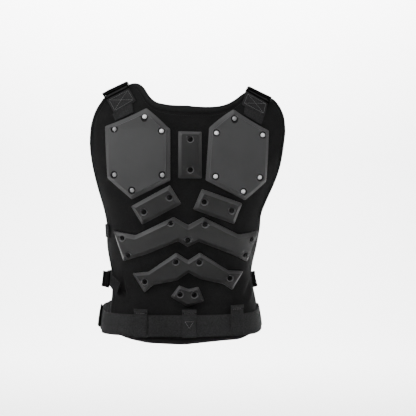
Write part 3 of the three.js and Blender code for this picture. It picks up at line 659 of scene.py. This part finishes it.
# Plates: name, bevel, outline, places of the screws, and the kind of screw
PLATES = [
    ("scapula_plate_left", 9,
     [(-37.6, -101.8), (-89.6, -68.4), (-181.5, -97.6), (-176.6, -207.4), (-121, -253.4), (-37.5, -212.6)],
     [(-157.9, -105.5), (-93, -83.1), (-56.4, -108.4), (-54.3, -201), (-118.8, -232.8),
      (-157.5, -200.1)], "rivet"),
    ("scapula_plate_right", 9,
     [(99.3, -65), (46.4, -97.4), (38.3, -211.6), (124.5, -253.9), (174.2, -211.7), (177.8, -98.7)],
     [(100.6, -81.7), (161.6, -110.7), (154.8, -202.3), (118.4, -233.5), (59.2, -202.9),
      (61.9, -110.1)], "rivet"),
    ("spine_plate", 8,
     [(30.6, -106.9), (-20.8, -106.9), (-20.7, -207.8), (30.5, -207.7)],
     [(5.4, -125.2), (5.4, -189.5)], "screw"),
    ("rib_plate_left", 8,
     [(-38.4, -222.4), (-122.8, -268.2), (-98.5, -308), (-13.8, -262.7)],
     [(-93.6, -279.3), (-38.8, -248.2)], "screw"),
    ("rib_plate_right", 8,
     [(30.4, -230.2), (11.7, -274.5), (100.6, -306.6), (118.6, -261)],
     [(35, -257.5), (93.5, -275.8)], "screw"),
    ("upper_lumbar_plate", 8,
     [(0.8, -309.1), (-30.5, -291.3), (-113.6, -331.6), (-167.8, -323.8), (-142.2, -391.5), (-87.8, -373.3),
      (-20.8, -343.6), (-0.2, -357), (23.2, -344.5), (86.7, -370.8), (136.4, -392.5), (168.9, -323.4),
      (111.5, -330.1), (33.2, -291.2)],
     [(-141.9, -337.3), (-128.4, -377.5), (-36.2, -302.9), (-0.2, -340.2), (36.5, -306), (142.5, -340.5),
      (126.3, -376.8)], "screw"),
    ("lower_lumbar_plate", 7,
     [(0.7, -387.4), (-24.7, -370.2), (-86, -414), (-121.2, -418.2), (-93.9, -461), (-76.4, -443.7),
      (-22.8, -432.3), (1.6, -414.9), (25, -429.3), (78, -442), (97.8, -456.4), (126.1, -414.7),
      (89.3, -411.7), (26.1, -370.1)],
     [(-92.5, -436.2), (-25.9, -390), (24, -391.1), (89.9, -429.4)], "screw"),
    ("tail_plate", 6,
     [(-18.9, -443.6), (-37.5, -468.8), (-0.3, -491), (35.8, -477.9), (23.1, -446.7), (1.6, -451.7)],
     [(-16.9, -463.6), (13.5, -464.9)], "screw"),
]
DISH_RADIUS = 8.0
DISH_FLOOR = 6.0
DISH_DEPTH = 2.6
DISH_RINGS = (8.6, 8.0, 7.4, 6.8, 6.1, 4.0)
DISH_ANGLES = np.arange(28) * 2 * math.pi / 28
DISH_MARGIN = 11.0
FACE_GRID = 7.0
CORNER = 3.0
SIDE_STEP = 6.0
BIG_BEVEL = 9
BIG_LEDGE = 2.2
LEDGE = 1.0


def rounded(outline, radius):
    """The outline with short curves for corners, each corner giving the same count of points."""
    ring = np.array(outline, float)
    spots = []
    for k in range(len(ring)):
        here, before, after = ring[k], ring[k - 1], ring[(k + 1) % len(ring)]
        to_before = (before - here) / np.linalg.norm(before - here)
        to_after = (after - here) / np.linalg.norm(after - here)
        reach = min(radius, 0.4 * np.linalg.norm(before - here), 0.4 * np.linalg.norm(after - here))
        first, last = here + to_before * reach, here + to_after * reach
        for t in (0.0, 0.25, 0.5, 0.75, 1.0):
            spots.append((1 - t) ** 2 * first + 2 * t * (1 - t) * here + t * t * last)
    return np.array(spots)


def offset_corners(outline, inset):
    """The outline drawn inward, or outward where the inset is below nought."""
    ring = np.array(outline, float)
    before, after = np.roll(ring, 1, 0), np.roll(ring, -1, 0)
    back_way = (ring - before) / np.linalg.norm(ring - before, axis=1, keepdims=True)
    ahead = (after - ring) / np.linalg.norm(after - ring, axis=1, keepdims=True)
    out = np.stack([back_way[:, 1] + ahead[:, 1], -back_way[:, 0] - ahead[:, 0]], 1)
    out /= np.linalg.norm(out, axis=1, keepdims=True)
    spread = np.maximum(0.55, out[:, 0] * ahead[:, 1] - out[:, 1] * ahead[:, 0])
    return ring - out * (inset / spread)[:, None]


def denser(ring, counts):
    """Points along each side of a ring, the same count a side for every ring."""
    spots = []
    for k in range(len(ring)):
        after = ring[(k + 1) % len(ring)]
        for step in range(counts[k]):
            spots.append(ring[k] + (after - ring[k]) * step / counts[k])
    return np.array(spots)


def dish_drop(spots, screws, top):
    """How high the face may be near the screws' dished seats."""
    limit = np.full(len(spots), 1e9)
    for sx, sy in screws:
        gap = np.hypot(spots[:, 0] - sx, spots[:, 1] - sy)
        t = np.clip((gap - DISH_FLOOR) / (DISH_RADIUS - DISH_FLOOR), 0, 1)
        wall = top - DISH_DEPTH * (1 - t * t * (3 - 2 * t))
        limit = np.minimum(limit, np.where(gap < DISH_RADIUS, wall, 1e9))
    return limit


def inside(points, ring, margin):
    """True where a point is inside a ring, and at least a margin from its sides."""
    x, y = points[:, 0], points[:, 1]
    result = np.zeros(len(points), bool)
    near = np.full(len(points), 1e9)
    for k in range(len(ring)):
        (ax, ay), (bx, by) = ring[k], ring[(k + 1) % len(ring)]
        crosses = (ay > y) != (by > y)
        with np.errstate(divide="ignore", invalid="ignore"):
            cut = (bx - ax) * (y - ay) / (by - ay) + ax
        result ^= crosses & (x < cut)
        span = (bx - ax) ** 2 + (by - ay) ** 2
        t = np.clip(((x - ax) * (bx - ax) + (y - ay) * (by - ay)) / max(span, 1e-9), 0, 1)
        near = np.minimum(near, np.hypot(x - ax - t * (bx - ax), y - ay - t * (by - ay)))
    return result & (near > margin)


def plate_tiers(bevel, base, top):
    """Inset and rise of each ring, from a plate's foot to the rim of its face."""
    rim = base + PLATE_RIM
    ledge = top - 0.5 - (BIG_LEDGE if bevel == BIG_BEVEL else LEDGE)
    return [
        (0.0, base - 0.4), (0.0, rim - 0.6), (0.25, rim - 0.15), (0.8, rim + 0.35),
        (bevel * 0.5 - 0.35, (rim + 0.35 + ledge) / 2), (bevel - 1.5, ledge),
        (bevel - 0.8, top - 0.55), (bevel - 0.2, top - 0.1), (bevel + 0.7, top),
    ]


def face_points(ring, screws):
    """Points on a plate's face: rings round each screw, and a grid between them."""
    spots = [
        (sx + radius * math.cos(angle), sy + radius * math.sin(angle))
        for sx, sy in screws for radius in DISH_RINGS for angle in DISH_ANGLES
    ]
    low, high = ring.min(axis=0), ring.max(axis=0)
    for gx in np.arange(low[0] + 4, high[0], FACE_GRID):
        for gy in np.arange(low[1] + 4, high[1], FACE_GRID):
            if all(math.hypot(gx - sx, gy - sy) > DISH_MARGIN for sx, sy in screws):
                spots.append((gx, gy))
    spots = np.array(spots)
    return spots[inside(spots, ring, 1.2)]


def fill_face(spots, count, added, top):
    """Fills the last ring of points with faces through the added points."""
    start = len(spots) - count
    flat = np.concatenate([spots[start:, :2], added])
    edges = [(k, (k + 1) % count) for k in range(count)]
    made = delaunay_2d_cdt([Vector(p) for p in flat], edges, [list(range(count))], 1, 1e-5)
    where, extra = {}, []
    for index, origin in enumerate(made[3]):
        first = origin[0] if origin else -1
        if 0 <= first < count:
            where[index] = start + first
        else:
            where[index] = len(spots) + len(extra)
            extra.append((made[0][index].x, made[0][index].y, top))
    spots = np.concatenate([spots, np.array(extra)])
    faces = []
    for face in made[2]:
        loop = [where[k] for k in face]
        a, b, c = (spots[k] for k in loop[:3])
        area = (b[0] - a[0]) * (c[1] - a[1]) - (b[1] - a[1]) * (c[0] - a[0])
        faces.append(tuple(loop if area > 0 else reversed(loop)))
    return spots, faces


def plate(name, bevel, outline, screws):
    """A moulded plate with its dished seats, and which of its faces lie in them, for the seats' painted shade
    on rivet plates and painted highlight on screw plates.
    """
    base = CLOTH + GAP
    top = base + PLATE_RISE
    first = rounded(outline, CORNER)
    sides = np.linalg.norm(np.roll(first, -1, 0) - first, axis=1)
    sizes = [max(1, int(side / SIDE_STEP)) for side in sides]
    rings = []
    for inset, rise in plate_tiers(bevel, base, top):
        ring = denser(rounded(offset_corners(outline, inset), CORNER), sizes)
        rings.append(np.column_stack([ring, np.full(len(ring), rise)]))
    count = len(rings[0])
    inner = rings[-1][:, :2]
    faces = []
    for tier in range(len(rings) - 1):
        for k in range(count):
            a, b = tier * count + k, tier * count + (k + 1) % count
            faces.append((a, b, b + count, a + count))
    spots, face = fill_face(np.concatenate(rings), count, face_points(inner, screws), top)
    faces += face
    faces.append(tuple(reversed(range(count))))
    rise = np.minimum(spots[:, 2], dish_drop(spots, screws, top))
    points = place(spots[:, 0], spots[:, 1], rise)
    made = build(name + "_moulded", points, faces, spots[:, :2], flat_angle=24)
    crisp = made.modifiers.new("crisp", "WEIGHTED_NORMAL")
    crisp.keep_sharp = True
    crisp.weight = 90
    middles = np.array([spots[list(face), :2].mean(axis=0) for face in faces])
    near = np.min([np.hypot(middles[:, 0] - sx, middles[:, 1] - sy) for sx, sy in screws], axis=0)
    # Faces in the seats, which take the painted shade or the painted highlight of the seats
    painted_light_seat_faces = np.nonzero((near < DISH_RADIUS) & inside(middles, inner, 0.1))[0].tolist()
    return made, painted_light_seat_faces


# Head profiles: radius and rise of each ring; a screw's last rings are the walls of its socket
RIVET_PROFILE = [(4.9, 0.0), (4.9, 0.3), (4.4, 0.8), (3.8, 1.4), (2.9, 1.9), (1.8, 2.2), (0.9, 2.25)]
SCREW_PROFILE = [
    (5.4, -0.2), (5.4, 0.8), (5.2, 1.1), (4.6, 1.7), (3.7, 2.1), (2.5, 2.3), (2.3, 2.2), (2.2, 1.0),
]
SOCKET_START = 6
HEAD_SIDES = 30


def screw(name, spot, kind):
    """A domed head, with a six-sided socket where it is a screw."""
    s, q = spot
    turn = turn_at(np.array([float(s)]), np.array([float(q)]))
    axis = normal_at(turn, np.array([float(q)]))[0]
    foot = form_point(turn, np.array([float(q)]))[0] + axis * (CLOTH + GAP + PLATE_RISE - DISH_DEPTH + GAP)
    side = np.cross(axis, (0, 0, 1.0))
    side /= np.linalg.norm(side)
    up = np.cross(side, axis)
    profile = RIVET_PROFILE if kind == "rivet" else SCREW_PROFILE
    count = HEAD_SIDES
    points, faces = [], []
    for level, (radius, rise) in enumerate(profile):
        for k in range(count):
            angle = 2 * math.pi * k / count
            reach = radius
            if kind == "screw" and level >= SOCKET_START:
                step = (angle % (math.pi / 3)) - math.pi / 6
                reach = radius * math.cos(math.pi / 6) / math.cos(step)
            points.append(foot + side * reach * math.cos(angle) + up * reach * math.sin(angle) + axis * rise)
    for level in range(len(profile) - 1):
        for k in range(count):
            a, b = level * count + k, level * count + (k + 1) % count
            faces.append((b, a, a + count, b + count))
    last = (len(profile) - 1) * count
    faces.append(tuple(last + k for k in reversed(range(count))))
    faces.append(tuple(range(count)))
    return build(name, points, faces, flat_angle=50)


# Rivets that look grey in the photo, which get the grey copy of the rivet metal as painted shade; the others
# look white there and get the white copy, the rivets' own silver with a painted highlight
SHADED_RIVETS = [
    ("scapula_plate_left", 1), ("scapula_plate_left", 4), ("scapula_plate_left", 5),
    ("scapula_plate_left", 6), ("scapula_plate_right", 1),
]
for plate_name, bevel, outline, screws, kind in PLATES:
    made, painted_light_seat_faces = plate(plate_name, bevel, outline, screws)
    finish_piece(made, BIG_PLATE_PAINT if kind == "rivet" else PLATE_PAINT, "plates", plate_name)
    # Seat faces: dark paint on rivet plates as painted shade, pale paint on screw plates as a painted
    # highlight
    made.data.materials.append(RIVET_SEAT_SHADE_PAINT if kind == "rivet" else SCREW_SEAT_HIGHLIGHT_PAINT)
    for index in painted_light_seat_faces:
        made.data.polygons[index].material_index = 1
    for number, spot in enumerate(screws, 1):
        head = screw(f"{plate_name}_head_{number}", spot, kind)
        paint = SCREW_PAINT
        # Each rivet gets the lit or the shaded copy of the rivet metal: painted highlight or painted shade
        if kind == "rivet":
            paint = RIVET_SHADE_PAINT if (plate_name, number) in SHADED_RIVETS else RIVET_HIGHLIGHT_PAINT
        finish_piece(head, paint, "rivets" if kind == "rivet" else "screws", f"{plate_name}_screw_{number}")


def lerp(a, b, t):
    return np.asarray(a, float) * (1 - t) + np.asarray(b, float) * t


def edge_between(first, last, share, drawn=0.0):
    """A rung between two rungs, shortened at both ends by a drawn share."""
    ends = [lerp(first[k], last[k], share) for k in range(2)]
    return lerp(ends[0], ends[1], drawn), lerp(ends[1], ends[0], drawn)


def strip(name, rungs, rises, thick, steps=6, across=14):
    """Webbing over rungs, each a pair of ends, made smooth along and round at its edges."""
    starts = np.array([rung[0] for rung in rungs], float)
    ends = np.array([rung[1] for rung in rungs], float)
    rises = np.array(rises, float)
    thick = np.broadcast_to(np.array(thick, float), rises.shape)
    along = np.linspace(0, len(rungs) - 1, (len(rungs) - 1) * steps + 1)
    base = np.arange(len(rungs))

    def read(values):
        return np.interp(along, base, values)
    a = np.stack([read(starts[:, 0]), read(starts[:, 1])], 1)
    b = np.stack([read(ends[:, 0]), read(ends[:, 1])], 1)
    share = 0.5 - 0.5 * np.cos(np.linspace(0, math.pi, across))
    s = a[:, None, 0] * (1 - share) + b[:, None, 0] * share
    q = a[:, None, 1] * (1 - share) + b[:, None, 1] * share
    low = read(rises)[:, None] * np.ones_like(s)
    deep = read(thick)[:, None] * np.ones_like(s)
    edge = np.minimum(share, 1 - share)[None, :]
    soft = np.clip(edge / 0.02, 0, 1)
    low = low + deep * 0.22 * (1 - soft)
    high = low + deep * (0.56 + 0.44 * soft)
    rows, columns = s.shape
    width = np.linalg.norm(b - a, axis=1)
    run = np.concatenate([[0], np.cumsum(np.linalg.norm(np.diff((a + b) / 2, axis=0), axis=1))])
    uv = np.stack([(share[None, :] * width[:, None]).ravel(), np.repeat(run, columns)], 1)
    under = place(s, q, low).reshape(-1, 3)
    over = place(s, q, high).reshape(-1, 3)
    faces = slab_faces(rows, columns)
    out = np.cross(over[1] - over[0], over[columns] - over[0])
    if np.dot(out, over[0] - under[0]) < 0:
        faces = [face[::-1] for face in faces]
    return build(name, np.concatenate([under, over]), faces, np.tile(uv, (2, 1)), flat_angle=60)


# Shoulder pieces: pairs of places across the webbing, from the slide down to its end, and at the front
SHOULDERS = {
    "left": dict(
        top=[(-186.9, -19.5), (-134.4, -6.4)], foot=[(-178.3, -37.9), (-128.7, -23.7)],
        fold=[(-160.9, -72.3), (-112.8, -52.5)], under=[(-165.1, -72.9), (-122, -54)],
        end=[(-158.5, -86), (-118.5, -73)], front=[(-176, 176), (-129, 176)]),
    "right": dict(
        top=[(133.5, -6.8), (182.7, -15.6)], foot=[(128.1, -20.9), (175.3, -35.3)],
        fold=[(117.6, -52.2), (168.8, -66.9)], under=[(125, -55), (168.1, -67.9)],
        end=[(122, -70), (161, -86.5)], front=[(130, 176), (178, 176)]),
}
SEAT = CLOTH + GAP
FOLD = 3.0
SLIDE = 4.0
SLIDE_OVERHANG = 0.04
SLIDE_RISE = OVER_CLOTH + FOLD + GAP
FOLD_SHARES = [0.0, 0.5, 0.94, 1.0]
FOLD_RISES = [OVER_CLOTH, OVER_CLOTH - 0.3, SEAT + 0.2, SEAT]
STRAP_START = 0.43
STRAP_NARROW = 0.05
STRAP_BOW = 7.0
STRAP_DIP = 22.0
STRAP_FREE = (0.07, 0.88)


def ease(value, low, high):
    share = np.clip((value - low) / (high - low), 0, 1)
    return share * share * (3 - 2 * share)


def shoulder_anchor(side_name, spots):
    """Webbing folded double under the slide, with its sewn box, and dark thread lines along its sides as
    painted shade.
    """
    rungs = [edge_between(spots["top"], spots["foot"], 0.45)]
    rungs += [edge_between(spots["foot"], spots["fold"], share) for share in FOLD_SHARES]
    rungs += [edge_between(spots["under"], spots["end"], share) for share in (0.0, 1.0)]
    rises = [OVER_CLOTH] + FOLD_RISES + [SEAT, SEAT]
    anchor = strip(f"shoulder_anchor_{side_name}_webbing", rungs, rises, [FOLD] * 4 + [FOLD * 0.8, 1.7, 1.7])
    finish_piece(anchor, WEB_PAINT, "webbing", f"shoulder_anchor_{side_name}")

    def on_fold(share, side):
        """A place on the folded webbing, with how high its face is there."""
        spot = lerp(*edge_between(spots["foot"], spots["fold"], share), side)
        return spot[0], spot[1], np.interp(share, FOLD_SHARES, FOLD_RISES) + FOLD + 0.1
    near, far, low, high = 0.14, 0.88, 0.08, 0.92
    box = [(near, low), (near, high), (far, high), (far, low), (near, low)]
    ends = list(zip(box, box[1:])) + [(box[0], box[2]), (box[1], box[3])]
    lines = [[on_fold(*lerp(first, last, u)) for u in np.linspace(0, 1, 9)] for first, last in ends]
    threads = stitches(f"shoulder_box_{side_name}_thread", lines, 0)
    finish_piece(threads, THREAD_PAINT, "webbing")
    # Dark thread lines along both sides of the fold: painted shade
    lines = [[on_fold(share, side) for share in np.linspace(0.02, 0.94, 9)] for side in (0.03, 0.97)]
    shade_lines = stitches(f"shoulder_box_{side_name}_shade_line", lines, 0)
    finish_piece(shade_lines, DARK_THREAD_AND_SHADE_PAINT, "webbing")


def shoulder_slide(side_name, spots):
    """A moulded slide: a broad bar, a narrow one at its foot, and an arm at each end."""
    def rung(share, drawn):
        return edge_between(spots["top"], spots["foot"], share, drawn)

    def cross_bar(tag, shares, thick):
        pairs = [rung(share, -SLIDE_OVERHANG) for share in shares]
        return strip(f"shoulder_slide_{side_name}_{tag}", pairs, [SLIDE_RISE] * len(pairs), thick, steps=4)
    bar = cross_bar("bar", [0.0, 0.2, 0.46], [3.4, SLIDE, 3.6])
    foot = cross_bar("foot", [0.86, 1.0], 2.6)
    finish_piece(bar, BUCKLE_PAINT, "buckles", f"shoulder_buckle_{side_name}")
    finish_piece(foot, BUCKLE_PAINT, "buckles")
    for tag, end in (("arm_a", 0), ("arm_b", 1)):
        shares = (0.3, 0.6, 1.0)
        pairs = [(rung(share, -SLIDE_OVERHANG)[end], rung(share, SLIDE_OVERHANG)[end]) for share in shares]
        arm = strip(f"shoulder_slide_{side_name}_{tag}", pairs, [SLIDE_RISE] * 3, 2.8, steps=4, across=8)
        finish_piece(arm, BUCKLE_PAINT, "buckles")


def shoulder_strap(side_name, spots):
    """Webbing from the slide over the shoulder, free between the panels, to the front panel."""
    start = edge_between(spots["top"], spots["foot"], STRAP_START, STRAP_NARROW)
    along = np.linspace(0, 1, 41)
    outward = (-STRAP_BOW if side_name == "left" else STRAP_BOW) * np.sin(math.pi * along)
    rungs = [edge_between(start, spots["front"], k) for k in along]
    rungs = [(first + (away, 0), last + (away, 0)) for (first, last), away in zip(rungs, outward)]
    free = np.clip((along - STRAP_FREE[0]) / (STRAP_FREE[1] - STRAP_FREE[0]), 0, 1)
    ahead = ease(along, 0.6, 0.9)
    lifts = OVER_CLOTH * (1 - ahead) + SEAT * ahead - STRAP_DIP * np.sin(math.pi * free)
    strap = strip(f"shoulder_strap_{side_name}_webbing", rungs, lifts, WEB, steps=2)
    finish_piece(strap, WEB_PAINT, "webbing", f"shoulder_strap_{side_name}")


for side_name, spots in SHOULDERS.items():
    shoulder_anchor(side_name, spots)
    shoulder_slide(side_name, spots)
    shoulder_strap(side_name, spots)

# Side webbing: from, to, down, how far its back end hangs, where it leaves the cloth (1: it lies under it)
SIDE_WIDTH = 30.0
BAND_DRAW = 15.0
BAND_FREE_END = 0.72
TAIL_REACH = 0.3
TAIL_LIFT = 0.25
LEAN_SHARE = 0.22
UNDER_CLOTH = -2 * GAP - TAPE - WEB
SIDE_BANDS = [
    ("side_strap_upper_left", -0.78, -1.398, 0.57, 0.0, 0.15),
    ("side_strap_upper_right", 0.74, 1.347, 0.565, 0.0, 1.0),
    ("side_strap_lower_left", -0.63, -1.27, 0.757, 0.04, 0.36),
    ("side_strap_lower_right", 0.66, 1.229, 0.772, 0.0, 1.0),
]
# Side slides: from, to, down, extra drop, rise, and how far the left and the right end stand out
SIDE_SLIDES = [
    ("left", -0.87, -0.765, 0.757, 5.0, OVER_CLOTH + WEB + 0.7, 6.0, 0.0),
    ("right", 0.768, 0.868, 0.772, 0.0, UNDER_CLOTH + WEB + GAP, 0.0, 15.0),
]
# Thickness along a slide from end to end, with a waist over the webbing
SLIDE_PROFILE = [2.8, 4.0, 4.0, 2.6, 4.0, 4.0, 2.8]


def side_band(name, start, end, drop, tail, free):
    share = np.linspace(0, 1, 43)
    hang = tail * np.maximum(0, 1 - share / TAIL_REACH) ** 1.5
    s = (start + (end - start) * share) * FORM_WIDTH / 2
    q = -(drop + hang) * VEST_HEIGHT
    lean = hang * LEAN_SHARE * VEST_HEIGHT
    if free == 1.0:
        lift = np.full(len(share), UNDER_CLOTH)
    else:
        away = np.clip((share - free) / (BAND_FREE_END - free), 0, 1)
        ahead = ease(share, BAND_FREE_END - 0.2, BAND_FREE_END)
        lift = (OVER_CLOTH + 0.1) * (1 - ahead) + SEAT * ahead
        lift = lift - BAND_DRAW * np.sin(math.pi * away) + hang * TAIL_LIFT * VEST_HEIGHT
    low = np.stack([s - lean, q - SIDE_WIDTH / 2], 1)
    high = np.stack([s + lean, q + SIDE_WIDTH / 2], 1)
    band = strip(name + "_webbing", list(zip(low, high)), lift, WEB, steps=2)
    finish_piece(band, DARK_WEB_PAINT, "webbing", name)


def side_slide(side_name, start, end, drop, extra, lift, left_out, right_out):
    q = -drop * VEST_HEIGHT - extra
    reach = SIDE_WIDTH / 2 + 4
    rungs = [((s, q - reach), (s, q + reach)) for s in np.linspace(start, end, 7) * FORM_WIDTH / 2]
    tilt = ease(np.linspace(0, 1, 7), 0.1, 0.9)
    tilt = left_out * tilt[::-1] + right_out * tilt
    buckle = strip(f"side_slide_{side_name}", rungs, lift + tilt, SLIDE_PROFILE, steps=4)
    finish_piece(buckle, SIDE_BUCKLE_PAINT, "buckles", f"side_buckle_lower_{side_name}")


for row in SIDE_BANDS:
    side_band(*row)
for row in SIDE_SLIDES:
    side_slide(*row)

# Belt; its open sides in degrees from the middle of the back: from, to, and the ramp at each end
BELT_DROP = 532.0
BELT_WIDTH = 46.0
BELT_DRAW = 6.0
BELT_RAISE = 11.0
OPEN_SIDES = [(-118, -62, 8), (75, 112, 6)]
ON_BELT = OVER_CLOTH + WEB + 4 * GAP
LOOP_HEIGHT = 60.0
LOOP_ABOVE = 35.0
LOOP_SHARES = [0, 0.03, 0.1, 0.12, 0.4, 0.7, 0.97, 1.0]
LOOP_THICKNESS = [3.6, 5.0, 5.0, 2.2, 2.0, 2.0, 2.0, 1.4]


def openness(turn):
    """How far the belt is drawn in, from nought over the panels to one at an open side."""
    degrees = (np.degrees(turn) + 180) % 360 - 180
    shares = [ease(degrees, a, a + ramp) - ease(degrees, b - ramp, b) for a, b, ramp in OPEN_SIDES]
    return np.maximum(*shares)


def belt():
    """One closed ring of webbing, a little higher at the front."""
    count, across = 288, 16
    share = 0.5 - 0.5 * np.cos(np.linspace(0, math.pi, across))
    turn = np.arange(count) / count * 2 * math.pi
    turn, share = np.meshgrid(turn, share, indexing="ij")
    degrees = np.abs((np.degrees(turn) + 180) % 360 - 180)
    q = BELT_RAISE * ease(degrees, 55, 95) - BELT_DROP + BELT_WIDTH * (share - 0.5)
    edge = np.clip(np.minimum(share, 1 - share) / 0.02, 0, 1)
    out = normal_at(turn, q)
    core = form_point(turn, q)
    rise = OVER_CLOTH + 2 * GAP - BELT_DRAW * openness(turn)
    low = rise + WEB * 0.2 * (1 - edge)
    high = rise + WEB * (0.6 + 0.4 * edge)
    under = core + out * low[..., None]
    over = core + out * high[..., None]
    run = np.concatenate([[0], np.cumsum(np.linalg.norm(np.diff(core[:, 0], axis=0), axis=1))])
    uv = np.stack([(share * BELT_WIDTH).ravel(), np.repeat(run, across)], 1)
    faces = []
    size = count * across
    for k in range(count):
        nxt = (k + 1) % count
        for m in range(across - 1):
            a, b, c, d = k * across + m, nxt * across + m, nxt * across + m + 1, k * across + m + 1
            faces.append((a + size, b + size, c + size, d + size))
            faces.append((a, d, c, b))
        for m in (0, across - 1):
            a, b = k * across + m, nxt * across + m
            face = (a, b, b + size, a + size)
            faces.append(face if m == 0 else face[::-1])
    points = np.concatenate([under.reshape(-1, 3), over.reshape(-1, 3)])
    return build("belt_webbing", points, faces, np.tile(uv, (2, 1)), flat_angle=60)


def belt_slide(side_name, at):
    middle = at * FORM_WIDTH / 2
    reach = BELT_WIDTH / 2 + GAP
    level = BELT_RAISE - BELT_DROP
    rungs = [((middle + s, level - reach), (middle + s, level + reach)) for s in np.linspace(-10, 10, 7)]
    buckle = strip(f"belt_slide_{side_name}", rungs, [ON_BELT - BELT_DRAW] * 7, SLIDE_PROFILE, steps=4)
    finish_piece(buckle, SIDE_BUCKLE_PAINT, "buckles", f"belt_buckle_{side_name}")


def belt_loop(loop_name, at, wide, extra):
    """A belt loop with its stitches, the middle one with a sewn triangle, and dark thread lines down its
    sides as painted shade.
    """
    top = LOOP_ABOVE - BELT_DROP + extra
    levels = [top - LOOP_HEIGHT * share for share in LOOP_SHARES]
    rungs = [((at - wide, level), (at + wide, level)) for level in levels]
    loop = strip(f"belt_loop_{loop_name}_webbing", rungs, [ON_BELT] * 8, LOOP_THICKNESS, steps=4)
    finish_piece(loop, WEB_PAINT, "webbing", f"belt_loop_{loop_name}")
    lines = [[(at - wide + 4, top - 9), (at + wide - 4, top - 9)]]
    if loop_name == "centre":
        left, low, right = (at - 9, top - 26), (at, top - 40), (at + 9, top - 26)
        lines += [[left, low], [low, right], [left, right]]
    threads = stitches(f"belt_loop_{loop_name}_thread", lines, ON_BELT + 2.15)
    finish_piece(threads, THREAD_PAINT, "webbing")
    # Dark thread lines down both sides of the loop: painted shade
    sides = [[(at + side * (wide - 1.6), top - 10), (at + side * (wide - 1.6), top - 58)] for side in (-1, 1)]
    shade_lines = stitches(f"belt_loop_{loop_name}_shade_line", sides, ON_BELT + 2.05, radius=0.5)
    finish_piece(shade_lines, DARK_THREAD_AND_SHADE_PAINT, "webbing")


finish_piece(belt(), WEB_PAINT, "webbing", "waist_belt")
belt_slide("left", -0.975)
belt_slide("right", 0.89)
belt_loop("left", -101, 14, 0)
belt_loop("centre", 3, 15.4, 0)
belt_loop("right", 106, 14, 7)
